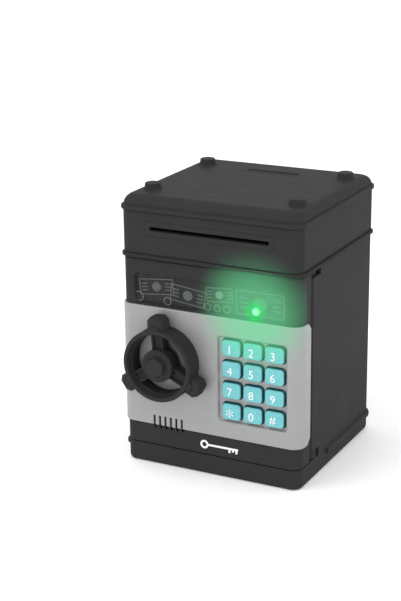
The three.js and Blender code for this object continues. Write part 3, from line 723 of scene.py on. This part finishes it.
def cross_screw(name, body, node, length, head_r, head_depth, seat, turn):
    """A pan-head screw with a cross recess, drawn head up, then turned and set with its head on a seat."""
    steps = 6
    flatness = 0.72
    profile = [(head_r, -0.01)]
    for i in range(steps + 1):
        t = i / steps * math.pi / 2
        profile.append((head_r * math.cos(t * flatness), head_depth * math.sin(t)))
    head = loft([circle(r, h, 40) for r, h in profile])
    arm, half_width = head_r * 0.62, 0.38
    recess = (head_depth * 0.35, head_depth * 2)
    cut(head, [
        block(-arm, arm, -half_width, half_width, *recess),
        block(-half_width, half_width, -arm, arm, *recess),
    ])
    tip = head_depth - length
    shank = loft([circle(r, h, 20) for r, h in ((0.35, tip), (0.9, tip + 1.2), (0.9, 0.1))])
    whole = gather([head, shank])
    whole.data.transform(Matrix.Translation(seat) @ turn)
    piece(whole, name, body, bright_steel, 0.08, [node])


def base_and_screws():
    """The base panel with its screw wells and grip grooves, and the four screws under it."""
    thick = base_high.z
    inset = base_high.x - SIDE
    plate = stacked([(inset - 0.3, 0), (inset, 0.3), (inset, thick)])
    holes = []
    groove_pitch, groove_half_length, groove_half_width = 8, 36, 0.6
    for at in base_screws:
        holes.append(rod("z", SCREW_HEAD_R + 0.4, -1, SCREW_WELL_DEPTH, (at.x, at.y)))
        holes.append(rod("z", SCREW_HOLE_R, -1, thick + 1, (at.x, at.y)))
    for k in range(-4, 5):
        y = k * groove_pitch
        holes.append(block(-groove_half_length, groove_half_length,
                           y - groove_half_width, y + groove_half_width, -1, 0.5))
    piece(cut(plate, holes), "base_panel", "housing", charcoal, 0.2, ["base_plate"])
    head_down = Matrix.Rotation(math.pi, 4, "X")
    for i, at in enumerate(base_screws, 1):
        node = f"base_screw_{i}"
        low, high = span(node)
        seat = Vector((at.x, at.y, low.z + SCREW_HEAD_DEPTH))
        cross_screw(f"base_fixing_{i}", "housing", node, high.z - low.z,
                    SCREW_HEAD_R, SCREW_HEAD_DEPTH, seat, head_down)


def lower_housing():
    """The lower body: plinth and bead, side and back walls, the hinge column and the screw bosses."""
    left, right = -SIDE + WALL, SIDE - WALL
    above = BODY_TOP + 1
    inner_floor = base_high.z + 0.3
    sill_front = DOOR_BACK + 0.7
    sill_back = sill_front + WALL
    lip_back = -38.3
    lip_end = -50.5
    outer = stacked([
        (-2.4, 0), (-1.5, 0.2), (-0.7, 0.7), (-0.2, 1.5), (0, 2.4), (0, BODY_TOP - 0.4), (-0.35, BODY_TOP),
    ])
    bead = stacked([
        (0, 8.7), (0.3, 8.8), (1.2, 9.15), (BEAD, 9.9), (BEAD, 12.1), (1.2, 12.85), (0.3, 13.2), (0, 13.3),
    ])
    bead_start, bead_start_at_hinge = -54, -16
    cut(bead, [block(-OUT, OUT, -OUT, bead_start, 0, 20), block(0, OUT, -OUT, bead_start_at_hinge, 0, 20)])
    join(outer, [bead])
    cut(outer, [
        block(left, right, sill_back, BACK - WALL, -1, above),
        block(left, right, FRONT + WALL, sill_front, -1, SHELF_Z - WALL),
        block(left, right, sill_front - 1, sill_back + 1, -1, inner_floor),
        block(-OUT, OUT, -OUT, DOOR_BACK + 0.5, SHELF_Z, above),
        block(left, OUT, -OUT, lip_back, SHELF_Z, above),
        block(50, OUT, -OUT, HINGE.y, SHELF_Z, above),
    ])
    lip = block(-SIDE + 1, lip_end, sill_front, lip_back, SHELF_Z - 1, BODY_TOP)
    hinge_at = (HINGE.x, HINGE.y)
    column = rod("z", COLUMN_R, SHELF_Z - 1, BODY_TOP, hinge_at, 96)
    cut(column, [block(SIDE, OUT, -OUT, 0, 0, 150), block(0, OUT, NOTCH_BACK, 0, 0, 150)])
    bosses = [rod("z", SCREW_BOSS_R, inner_floor, SHELF_Z, hinge_at)]
    for at in base_screws:
        top = SHELF_Z - 1 if at.y < 0 else 12
        bosses.append(rod("z", SCREW_BOSS_R, inner_floor, top, (at.x, at.y)))
    join(outer, [lip, column, *bosses])
    knuckle_side = 47
    tools = [
        block(knuckle_side, OUT, -OUT, NOTCH_BACK, SHELF_Z, COLUMN_BOTTOM),
        block(knuckle_side, OUT, -OUT, NOTCH_BACK, COLUMN_TOP, above),
        rod("z", PIN_HOLE_R, 6, above, hinge_at, 32),
    ]
    tools += [rod("z", SCREW_PILOT_R, -1, 9.5, (at.x, at.y), 24) for at in base_screws]
    cut(outer, tools)
    piece(outer, "housing_shell", "housing", charcoal, 0.3, ["lower_housing"])


# ---- Head, note slot and lid ----

def head_shell():
    """The head: a double bead round its bottom edge, and an opening for the note slot's frame."""
    double_bead = [
        (0.7, 0), (1.3, 0.12), (BEAD, 0.4), (BEAD, 0.85), (1.3, 1.1), (1.3, 1.25), (BEAD, 1.5), (BEAD, 1.9),
        (1.2, 2.22), (0.5, 2.34), (-0.2, 2.36), (-0.2, 2.8), (0.1, 2.85), (0.3, 3.05),
    ]
    outer = stacked([(offset, HEAD_BOTTOM + up) for offset, up in double_bead] + [(0.3, HEAD_TOP)])
    inside = stacked([(-WALL, HEAD_BOTTOM - 1), (-WALL, HEAD_TOP + 1)])
    opening = front_opening(bezel_low.x, bezel_high.x, bezel_low.z, bezel_high.z, 0.06, WALL + 1, 1)
    cut(outer, [inside, opening])
    piece(outer, "head_case", "housing", charcoal, 0.18, ["head_shell"])


def note_bezel():
    """The note slot's frame: an almost flush panel with the slot's eased mouth."""
    size = bezel_high - bezel_low
    half_x, half_z, thick = size.x / 2, size.z / 2, size.y
    centre = middle("note_slot_bezel")
    at = (centre.x, bezel_high.y, centre.z)
    steps = 6
    body = loft(facing([
        ring(half_x, half_z, 0.8, 0, steps), ring(half_x, half_z, 0.8, thick - 0.12, steps),
        ring(half_x - 0.12, half_z - 0.12, 0.7, thick, steps),
    ], at))
    rise = Vector((0, NOTE_SLOT_Z - centre.z, 0))
    mouth = []
    for grow, height in ((0, -3), (0, thick - 0.4), (0.35, thick), (0.35, thick + 1)):
        points = ring(NOTE_SLOT_HALF[0] + grow, NOTE_SLOT_HALF[1] + grow, 0.6, height, steps)
        mouth.append([p + rise for p in points])
    slot = loft(facing(mouth, at))
    piece(cut(body, [slot]), "note_bezel", "housing", charcoal, 0.08, ["note_slot_bezel"])


def lid():
    """The lid: a beaded rim, a rounded shoulder up to the deck, four bosses and the coin slot."""
    bottom, top = cover_low.z, cover_high.z
    rise = DECK_Z - RIM_TOP
    shoulder_steps = 10

    def shoulder(inset, start):
        rings = []
        for i in range(shoulder_steps + 1):
            t = i / shoulder_steps * math.pi / 2
            half_x = DECK_HALF[0] + (SIDE - DECK_HALF[0]) * math.cos(t) - inset
            half_y = DECK_HALF[1] + (BACK - DECK_HALF[1]) * math.cos(t) - inset
            radius = DECK_CORNER + (CORNER - DECK_CORNER) * math.cos(t) - inset / 2
            rings.append(ring(half_x, half_y, radius, start + rise * math.sin(t)))
        return rings

    rim = [
        (0.9, bottom), (1.4, bottom + 0.15), (BEAD, bottom + 0.5), (BEAD, RIM_TOP - 0.7),
        (1.4, RIM_TOP - 0.25), (0.9, RIM_TOP - 0.06), (0.3, RIM_TOP - 0.02),
    ]
    outer = loft([body_ring(offset, z) for offset, z in rim] + shoulder(0, RIM_TOP))
    cut(outer, [loft([body_ring(-WALL, bottom - 1), *shoulder(WALL, RIM_TOP - 2)])])

    boss = [
        (6.0, DECK_Z - 1), (5.9, DECK_Z), (5.7, DECK_Z + 0.5), (5.15, DECK_Z + 1.3), (4.9, top - 0.55),
        (4.6, top - 0.2), (4.2, top), (3.1, top), (2.9, top - 0.15),
    ]
    bosses = []
    for sx in (-1, 1):
        for sy in (-1, 1):
            spot = Vector((sx * LID_BOSS_AT[0], sy * LID_BOSS_AT[1], 0))
            bosses.append(loft([[p + spot for p in circle(r, h, 40)] for r, h in boss]))
    join(outer, bosses)

    def slot(profile, y, half, radius, steps):
        """A long cutter across the deck, from (how far it is grown, height)."""
        rings = [ring(half[0] + grow, half[1] + grow, radius, height, steps) for grow, height in profile]
        return loft([[p + Vector((0, y, 0)) for p in points] for points in rings])

    slot_y = middle("coin_chute").y
    mouth = ((0, 160), (0, DECK_Z - 0.6), (0.55, DECK_Z + 0.01), (0.6, 180))
    coin_slot = slot(mouth, slot_y, COIN_SLOT_HALF, 0.7, 6)
    scribed = ((0, DECK_Z - 0.35), (0, DECK_Z + 1))
    line = slot(scribed, slot_y - 5.2, (COIN_SLOT_HALF[0] + 1.5, 0.45), 0.3, 3)
    cut(outer, [coin_slot, line])
    piece(outer, "lid", "housing", charcoal, 0.15, ["top_cover"])


# ---- Door ----

def door_outline(offset, back, z):
    """The door's plan outline, rounded at the two front corners, grown by offset."""
    half = SIDE + offset
    front = FRONT - offset
    radius = CORNER + offset
    points = [Vector((half, back, z)), Vector((-half, back, z))]
    for cx, start in ((-half + radius, 180), (half - radius, 270)):
        for i in range(CORNER_STEPS + 1):
            angle = math.radians(start + 90 * i / CORNER_STEPS)
            x = cx + radius * math.cos(angle)
            y = front + radius + radius * math.sin(angle)
            points.append(Vector((x, y, z)))
    return points


def door_stack(back, profile):
    """A solid of door outlines with one flat back, from (how far each is grown, its height)."""
    return loft([door_outline(offset, back, z) for offset, z in profile])


def grille_slots():
    """The speaker's row of upright slots."""
    slots = []
    for i in range(GRILLE["count"]):
        x = SPEAKER_AT.x + (i - (GRILLE["count"] - 1) / 2) * GRILLE["pitch"]
        x0, x1 = x - GRILLE["half"], x + GRILLE["half"]
        slots.append(panel(x0, x1, GRILLE["bottom"], GRILLE["top"], *FRONT_CUT, 0.5, 4))
    return slots


def door_shell():
    """The door's hollow case with its hinge knuckles, window, keypad and grille openings."""
    bottom, top = door_low.z, door_high.z
    back = DOOR_BACK
    shell = door_stack(back, [
        (-0.9, bottom), (-0.3, bottom + 0.2), (0, bottom + 0.9),
        (0, top - 0.9), (-0.3, top - 0.2), (-0.9, top),
    ])
    hollow = door_stack(back + 5, [(-DOOR_WALL, bottom + DOOR_WALL), (-DOOR_WALL, top - DOOR_WALL)])
    cut(shell, [hollow])
    knuckles = []
    lower = (HINGE_R, bottom, COLUMN_BOTTOM - KNUCKLE_GAP)
    upper = (UPPER_KNUCKLE_R, COLUMN_TOP + KNUCKLE_GAP, top)
    for radius, z0, z1 in (lower, upper):
        knuckles.append(rod("z", radius, z0, z1, (HINGE.x, HINGE.y), 72))
        knuckles.append(block(HINGE.x - 2, HINGE.x + 3, back - 4, HINGE.y, z0, z1))
    join(shell, knuckles)
    openings = [
        front_opening(pane_low.x, pane_high.x, pane_low.z, pane_high.z, 0.2, 4, 2),
        front_opening(*POCKET, 1.6, 4, 2),
        front_hole(DOOR_SHAFT_HOLE_R, KNOB),
        rod("z", KNUCKLE_BORE_R, 0, door_high.z + 10, (HINGE.x, HINGE.y), 32),
        *grille_slots(),
    ]
    piece(cut(shell, openings), "door_case", "door", charcoal_painted_glow, 0.22, ["door_shell"])


def silver_plate():
    """The silver skin wrapped round the door, with the keypad's sunken floor and its twelve holes."""
    bottom, top = plate_low.z, plate_high.z
    back = plate_high.y
    skin = door_stack(back, [
        (PLATE_PROUD - 0.5, bottom), (PLATE_PROUD - 0.12, bottom + 0.15), (PLATE_PROUD, bottom + 0.5),
        (PLATE_PROUD, top - 0.5), (PLATE_PROUD - 0.12, top - 0.15), (PLATE_PROUD - 0.5, top),
    ])
    cut(skin, [door_stack(back + 5, [(0.1, bottom - 1), (0.1, top + 1)])])
    floor_y = FRONT - PLATE_PROUD + POCKET_DEPTH
    x0, x1, z0, z1 = POCKET
    rim = 1.2
    join(skin, [panel(x0 - rim, x1 + rim, z0 - rim, z1 + rim, FRONT - 0.6, floor_y + rim, 1.6)])
    half_x, half_z = (x1 - x0) / 2, (z1 - z0) / 2
    sunk = []
    for grow, radius, height in (
        (-1.25, 1.6, 0), (-0.95, 1.8, 0.25), (-0.15, 2.0, POCKET_DEPTH - 0.25),
        (0.15, 2.2, POCKET_DEPTH), (0.2, 2.2, POCKET_DEPTH + 2),
    ):
        sunk.append(ring(half_x + grow, half_z + grow, radius, height, 8))
    recess = loft(facing(sunk, ((x0 + x1) / 2, floor_y, (z0 + z1) / 2)))
    tools = [recess, front_hole(PLATE_SHAFT_HOLE_R, KNOB), *grille_slots()]
    half_w, half_h = KEY_SIZE[0] / 2 + KEY_GAP, KEY_SIZE[1] / 2 + KEY_GAP
    for name in KEY_NAMES:
        at = middle(f"key_{name}")
        tools.append(panel(at.x - half_w, at.x + half_w, at.z - half_h, at.z + half_h,
                           floor_y - 1, floor_y + 3, KEY_CORNER + KEY_GAP))
    mitre = 2.83
    for z in (bottom, top):
        wedge = block(-OUT, OUT, -mitre, mitre, -mitre, mitre)
        wedge.data.transform(Matrix.Translation((0, back, z)) @ Matrix.Rotation(math.pi / 4, 4, "X"))
        tools.append(wedge)
    piece(cut(skin, tools), "silver_plate", "door", silver, 0.14, ["faceplate"])


def key_cap(name):
    """A silicone key: slightly tapered sides, a rounded brow, a crowned face and a hidden flange."""
    low, high = span(f"key_{name}")
    height = high.y - low.y
    brow = 0.85
    taper = 0.1
    brow_steps = 5
    w, h = KEY_SIZE[0] / 2, KEY_SIZE[1] / 2
    profile = [(0, 0, KEY_CORNER, 0), (taper, taper, KEY_CORNER, height - brow - taper)]
    for i in range(1, brow_steps + 1):
        t = i / brow_steps * math.pi / 2
        inset = taper + brow * (1 - math.cos(t))
        profile.append((inset, inset, KEY_CORNER - inset * 0.6, height - taper - brow * (1 - math.sin(t))))
    profile += [(2.4, 2.2, 1.4, height - 0.03), (4.2, 3.8, 0.6, height)]
    rings = [ring(w - inset_x, h - inset_z, radius, z, 8) for inset_x, inset_z, radius, z in profile]
    at = middle(f"key_{name}")
    cap = loft(facing(rings, (at.x, high.y, at.z)))
    flange = panel(low.x, high.x, low.z, high.z, high.y - 0.9, high.y, 1.2)
    obj = join(cap, [flange])
    piece(obj, f"button_cap_{name}", f"button_{name}", silicone, 0.0, [f"key_{name}"])


def symbol(text, name, body, centre, size, front_y, by):
    """A raised white character on the front, sized by its height or its width."""
    curve = bpy.data.curves.new(name, "FONT")
    curve.body = text
    curve.extrude = 0.5
    curve.offset = -0.006
    curve.resolution_u = 5
    temp = new_object(name, curve)
    bpy.context.view_layer.update()
    mesh = bpy.data.meshes.new_from_object(temp.evaluated_get(bpy.context.evaluated_depsgraph_get()))
    bpy.data.objects.remove(temp)
    xs = [v.co.x for v in mesh.vertices]
    ys = [v.co.y for v in mesh.vertices]
    scale = size / ((max(ys) - min(ys)) if by == "height" else (max(xs) - min(xs)))
    origin = Vector(((max(xs) + min(xs)) / 2, (max(ys) + min(ys)) / 2, 0))
    for v in mesh.vertices:
        p = (v.co - origin) * scale
        outward = PRINT_THICKNESS if v.co.z > 0 else -PRINT_THICKNESS
        v.co = Vector((centre[0] + p.x, front_y - outward, centre[1] + p.y))
    piece(new_object(name, mesh), name, body, print_white, 0.0)


def keypad():
    """The twelve keys and their signs, which sit a little left of and below each key's middle."""
    for name, sign in zip(KEY_NAMES, "123456789*0#"):
        key_cap(name)
        at = middle(f"key_{name}")
        front_y = span(f"key_{name}")[0].y
        size, by = (4.8, "width") if name == "star" else (5.1, "height")
        symbol(sign, f"sign_{name}", f"button_{name}", (at.x - 0.9, at.z - 0.8), size, front_y, by)


def smoked_pane():
    """The clear pane in front of the relief, with the lamp's hole."""
    pane = panel(pane_low.x, pane_high.x, pane_low.z, pane_high.z, pane_low.y, pane_high.y, 1.8, 8)
    cut(pane, [front_hole(LED_HOLE_R, LED_AT)])
    piece(pane, "smoked_pane", "door", acrylic, 0.15, ["window_pane"])


def relief_slab(x, z, width, height, proud, radius, steps=3, root=RELIEF_ROOT):
    """A slab that stands proud of the relief panel's face, rooted a little way into it."""
    y = insert_low.y
    return panel(x - width / 2, x + width / 2, z - height / 2, z + height / 2,
                 y - proud, y + root, radius, steps)


def relief_note(x, z, width, height, degrees, proud):
    """A banknote in relief: a slab that carries a frame, an oval and six short bars."""
    margin, bar = 1.2, 1.4
    frame_w, frame_h = width - margin, height - margin
    outline = relief_slab(x, z, frame_w, frame_h, proud + 0.4, 0.5)
    gap = relief_slab(x, z, frame_w - bar, frame_h - bar, proud + 1.4, 0.3, root=1)
    profile = [(height * 0.27, 0), (height * 0.27, proud + 0.65), (height * 0.2, proud + 0.75)]
    oval = turned(profile, (x, insert_low.y + RELIEF_ROOT, z), 32)
    parts = [relief_slab(x, z, width, height, proud, 0.4), cut(outline, [gap]), oval]
    for side in (-1, 1):
        for row in (-1, 0, 1):
            bar_x = x + side * width * 0.33
            bar_z = z + row * height * 0.18
            parts.append(relief_slab(bar_x, bar_z, width * 0.16, 0.8, proud + 0.35, 0.2, 2))
    return [swung(part, degrees, (x, insert_low.y, z)) for part in parts]


def relief_coin(x, z, radius):
    """A coin in relief: a raised edge round a flat face."""
    edge = [(radius, 0), (radius, 0.9), (radius - 0.2, 1.1), (radius - 0.6, 1.1)]
    profile = [*edge, (radius - 0.8, 0.7), (0.4, 0.7)]
    return turned(profile, (x, insert_low.y + RELIEF_ROOT, z), 32)


def relief_panel():
    """The moulded panel behind the pane: banknotes, coins and a row of stripes round the lamp's hole."""
    back = block(insert_low.x, insert_high.x, insert_low.y, insert_high.y, insert_low.z, insert_high.z)
    cut(back, [front_hole(LED_HOLE_R, LED_AT)])
    raised = []
    for note in NOTES:
        raised += relief_note(*note)
    raised += [relief_coin(*coin) for coin in COINS]
    for k in range(STRIPES["count"]):
        x = STRIPES["start"] + k * STRIPES["pitch"]
        bottom = STRIPES["bottom"] + k % 2
        z, height = (bottom + STRIPES["top"]) / 2, STRIPES["top"] - bottom
        raised.append(relief_slab(x, z, STRIPES["width"], height, 0.75, 0.15, 2))
    art = [cut(part, [front_hole(LED_CLEARANCE_R, LED_AT)]) for part in raised]
    piece(gather([back, *art]), "relief_panel", "door", relief, 0.0, ["window_insert"])


def lamp_lens():
    """The lamp: a flanged body with a domed lens that stands a little proud of the door."""
    shoulder = -0.9
    dome = 1.6
    steps = 8
    profile = [(2.9, -5.0), (2.9, -4.1), (LAMP_R, -4.0), (LAMP_R, shoulder)]
    for i in range(1, steps + 1):
        t = i / steps * math.pi / 2
        profile.append((LAMP_R * math.cos(t) + 0.02, shoulder + dome * math.sin(t)))
    lens = turned(profile, (LED_AT.x, FRONT, LED_AT.z), 48)
    piece(lens, "lamp_lens", "door", green_lamp, 0.0, ["status_led"])


def door_mark():
    """A small white key sign printed on the door's lower band."""
    cx, cz = 6.7, 20.0
    thick = 0.06
    half_shaft = 0.65
    bow_at = cx - 10.6
    bit_at = cx + 6.0
    bit_pitch, bit_width = 2.4, 1.3

    def bar(x0, x1, z0, z1, radius=0.3):
        return panel(x0, x1, z0, z1, FRONT - thick, FRONT + 0.2, radius, 4)

    bow = turned([(1.5, -0.2), (2.8, -0.2), (2.8, thick), (1.5, thick)], (bow_at, FRONT, cz), 48, closed=True)
    parts = [bar(bow_at + 2.4, cx + 12.6, cz - half_shaft, cz + half_shaft)]
    for k, drop in enumerate((2.7, 1.9, 2.7)):
        x = bit_at + k * bit_pitch
        parts.append(bar(x, x + bit_width, cz - drop, cz, 0.15))
    join(bow, parts)
    piece(bow, "door_mark", "door", print_white, 0.0)


# ---- Hand wheel ----

def wheel_arm(at):
    """One spoke to the right: a web with two ribs, the grip lug outside the ring and its saddle."""
    x, z = KNOB.x, KNOB.z
    spoke = (x + 8.5, x + 20.5)
    web = block(*spoke, FRONT - 9.6, FRONT - 4.2, z - 3.75, z + 3.75)
    ribs = []
    for side in (-1, 1):
        rib_z = z + side * 3.3
        ribs.append(block(*spoke, FRONT - 11.2, FRONT - 4.4, rib_z - 0.6, rib_z + 0.6))
    root = 21.5
    lug_rings = []
    for inset, height in ((0, 4.0), (0, 11.0), (1.5, 13.0)):
        half, cheek = 5.8 - inset, 3.2 - inset
        shoulder, tip = 28 - inset, 30.6 - inset
        outline = [
            (root, -half), (shoulder, -half), (tip, -cheek), (tip, cheek), (shoulder, half), (root, half),
        ]
        lug_rings.append([Vector((px, py, height)) for px, py in outline])
    lug = loft(facing(lug_rings, at))
    saddle = block(x + root, x + 25.2, FRONT - 14.3, FRONT - 5, z - 2.9, z + 2.9)
    return [web, *ribs, lug, saddle]


def hand_wheel():
    """The wheel: a ring with a stepped front, three ribbed spokes with lugs, and a domed hub."""
    at = (KNOB.x, FRONT, KNOB.z)
    knob_at = (KNOB.x, KNOB.z)
    back = FRONT - wheel_high.y
    front = RING_FRONT
    wheel = turned([
        (19.0, back + 0.3), (19.3, back), (22.4, back), (22.85, back + 0.25), (23.0, back + 0.7),
        (23.0, front - 1.1), (22.8, front - 0.5), (22.3, front - 0.1), (21.7, front), (21.1, front),
        (20.6, front - 0.2), (20.3, front - 0.7), (19.7, 10.5), (19.2, 10.2),
    ], at, 96, closed=True)
    hub = turned([
        (6.6, back - 1.2), (7.4, back - 0.9), (9.6, 3.6), (10.1, 4.2), (10.3, 5), (10.3, HUB_FRONT - 0.9),
        (10.1, HUB_FRONT - 0.4), (9.6, HUB_FRONT - 0.05), (9.0, HUB_FRONT),
    ], at, 72)
    parts = [hub]
    for degrees in LUG_ANGLES:
        parts += [swung(part, degrees, at) for part in wheel_arm(at)]
    join(wheel, parts)
    bore = rod("y", 3.1, FRONT - 8, FRONT + 5, knob_at)
    bolt_hole = rod("y", 1.8, FRONT - 30, FRONT - 7, knob_at, 24)
    cut(wheel, [bore, bolt_hole])
    piece(wheel, "hand_wheel", "knob", charcoal, 0.15, ["knob_wheel"])


def wheel_bolt():
    """The hexagon-headed bolt in the middle of the hub."""
    at = (KNOB.x, FRONT, KNOB.z)
    tip = FRONT - bolt_low.y
    chamfer = 0.75
    profile = (
        (BOLT_R - 0.05, HUB_FRONT + 0.1), (BOLT_R, HUB_FRONT + 0.4),
        (BOLT_R, tip - chamfer), (BOLT_R - chamfer, tip),
    )
    flat_down = Matrix.Rotation(math.radians(30), 4, "Z")
    rings = [[flat_down @ p for p in circle(radius, height, 6)] for radius, height in profile]
    head = loft(facing(rings, at))
    shank = rod("y", 1.6, FRONT - HUB_FRONT - 0.5, bolt_high.y, (KNOB.x, KNOB.z), 24)
    piece(join(head, [shank]), "wheel_bolt", "knob", charcoal, 0.3, ["knob_bolt"])


# ---- Inner pieces ----

def refined(node, name, material, bevel):
    """A CAD shape that is right, given clean faces, rounded edges and smooth shading."""
    body = frame["nodes"][node]["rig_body"]
    obj = new_object(name, frame["nodes"][node].data.copy())
    obj.data.transform(Matrix.Scale(1 / MM, 4))
    piece(obj, name, body, material, bevel, [node], CAD_WELD)


def inner_pieces():
    """The parts inside, from their CAD shapes: node, piece, slot and bevel."""
    looks = {
        "steel": bright_steel, "inner_plastic": inner, "circuit_board": board, "rubber": black_rubber,
        "white_plastic": white, "battery_wrap": foil, "coil_copper": copper,
    }
    table = [
        ("hinge_pin_lower", "lower_pin", "steel", 0.2),
        ("hinge_pin_upper", "upper_pin", "steel", 0.2),
        ("coin_chute", "chute", "inner_plastic", 0.2),
        ("note_tray", "tray", "inner_plastic", 0.25),
        ("note_sensor", "sensor", "circuit_board", 0.1),
        ("feed_shaft", "lower_shaft", "steel", 0.15),
        ("idler_shaft", "upper_shaft", "steel", 0.15),
        ("feed_roller_left", "lower_roller_left", "rubber", 0.3),
        ("feed_roller_right", "lower_roller_right", "rubber", 0.3),
        ("idler_roller_left", "upper_roller_left", "rubber", 0.3),
        ("idler_roller_right", "upper_roller_right", "rubber", 0.3),
        ("feeder_bracket_left", "side_plate_left", "inner_plastic", 0.25),
        ("feeder_bracket_right", "side_plate_right", "inner_plastic", 0.25),
        ("feed_motor", "motor_can", "steel", 0.4),
        ("motor_pulley", "small_pulley", "white_plastic", 0.15),
        ("feed_pulley", "large_pulley", "white_plastic", 0.15),
        ("drive_belt", "belt", "rubber", 0.15),
        ("keypad_mat", "contact_mat", "rubber", 0.15),
        ("control_board", "main_board", "circuit_board", 0.1),
        ("speaker", "loudspeaker", "inner_plastic", 0.15),
        ("battery_1", "cell_1", "battery_wrap", 0.4),
        ("battery_2", "cell_2", "battery_wrap", 0.4),
        ("battery_3", "cell_3", "battery_wrap", 0.4),
        ("knob_shaft", "wheel_shaft", "white_plastic", 0.1),
        ("latch_bolt", "bolt_bar", "white_plastic", 0.15),
        ("solenoid", "coil", "coil_copper", 0.4),
        ("solenoid_plunger", "plunger", "steel", 0.2),
        ("latch_cover", "bolt_cover", "inner_plastic", 0.5),
        ("battery_cover", "battery_lid", "inner_plastic", 0.3),
        ("door_back_cover", "door_liner", "inner_plastic", 0.3),
    ]
    for node, name, slot, bevel in table:
        refined(node, name, looks[slot], bevel)
    low, high = span("battery_cover_screw")
    depth = 1.2
    at = middle("battery_cover_screw")
    seat = Vector((at.x, high.y - depth, at.z))
    head_back = Matrix.Rotation(-math.pi / 2, 4, "X")
    cross_screw("battery_fixing", "door", "battery_cover_screw", high.y - low.y, 2.2, depth, seat, head_back)


# ---- Stage ----

def floor():
    """A wide plain pale floor that brightens its own shadows a little."""
    bm = bmesh.new()
    half = 4.0
    for x, y in ((-half, -half), (half, -half), (half, half), (-half, half)):
        bm.verts.new((x, y, 0))
    bm.faces.new(bm.verts)
    obj = mesh_object("floor", bm)
    material = bpy.data.materials.new("pale floor")
    material.use_nodes = True
    shader = material.node_tree.nodes["Principled BSDF"]
    shader.inputs["Base Color"].default_value = (0.98, 0.98, 0.98, 1)
    shader.inputs["Roughness"].default_value = 0.6
    shader.inputs["Specular IOR Level"].default_value = 0.2
    shader.inputs["Emission Color"].default_value = (1, 1, 1, 1)
    shader.inputs["Emission Strength"].default_value = 0.12
    obj.data.materials.append(material)
    obj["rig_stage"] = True


def area_light(name, at, size, power):
    """A round white light aimed at the middle of the bank."""
    data = bpy.data.lights.new(name, "AREA")
    data.shape = "DISK"
    data.size = size
    data.energy = power
    obj = new_object(name, data)
    obj.location = at
    obj.rotation_mode = "QUATERNION"
    obj.rotation_quaternion = (Vector((0, 0, 0.09)) - Vector(at)).to_track_quat("-Z", "Y")
    return obj


def glow_light(name, power, receivers):
    """The lamp's haze on the head above the door: a soft-edged green cone that rides the door."""
    data = bpy.data.lights.new(name, "SPOT")
    data.energy = power
    data.color = (0.2, 1.0, 0.42)
    data.spot_size = 2 * math.atan2(BLOOM_REACH, GLOW_STANDOFF)
    data.spot_blend = 1.0
    data.shadow_soft_size = 0.004
    data.use_shadow = False
    obj = new_object(name, data)
    obj.location = Vector((BLOOM_AT[0], FRONT - GLOW_STANDOFF, BLOOM_AT[1])) * MM
    obj.rotation_euler = (math.radians(90), 0, 0)
    obj.visible_camera = False
    obj.visible_glossy = False
    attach(obj, "door")
    lit = bpy.data.collections.new(name + " receivers")
    for receiver in receivers:
        lit.objects.link(receiver)
    obj.light_linking.receiver_collection = lit


def lights():
    """A white studio: an even surround, three round lights and the lamp's haze."""
    world = bpy.data.worlds.new("studio")
    world.use_nodes = True
    background = world.node_tree.nodes["Background"]
    background.inputs["Color"].default_value = (1, 1, 1, 1)
    background.inputs["Strength"].default_value = 1.05
    bpy.context.scene.world = world
    area_light("key light", (-0.7, -0.9, 1.5), 1.2, 8)
    area_light("fill light", (1.5, -0.3, 0.7), 1.0, 2)
    area_light("front light", (-0.3, -1.3, 0.25), 0.8, 0.8).visible_glossy = False
    near = [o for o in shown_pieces() if o.name in ("head_case", "note_bezel")]
    glow_light("lamp haze on the head", 1.3, near)
    view = bpy.context.scene.view_settings
    view.view_transform = "Standard"
    view.look = "None"


def camera():
    """Seen from the front right and above, a little tilted, through a long lens."""
    lens = 89.68
    position = (0.391749, -0.818075, 0.391274)
    yaw, pitch, roll = (math.radians(a) for a in (27.597, 17.954, 0.726))
    forward = Vector((-math.sin(yaw) * math.cos(pitch), math.cos(yaw) * math.cos(pitch), -math.sin(pitch)))
    right = Vector((math.cos(yaw), math.sin(yaw), 0))
    up = right.cross(forward)
    right_tilted = math.cos(roll) * right - math.sin(roll) * up
    up_tilted = math.sin(roll) * right + math.cos(roll) * up
    data = bpy.data.cameras.new("camera")
    data.lens = lens
    data.clip_start = 0.01
    obj = new_object("camera", data)
    turn = Matrix((right_tilted, up_tilted, -forward)).transposed().to_4x4()
    obj.matrix_world = Matrix.Translation(position) @ turn
    bpy.context.scene.camera = obj


# ---- Build ----

base_and_screws()
lower_housing()
head_shell()
note_bezel()
lid()
door_shell()
silver_plate()
keypad()
smoked_pane()
relief_panel()
lamp_lens()
door_mark()
hand_wheel()
wheel_bolt()
inner_pieces()
floor()
camera()
lights()
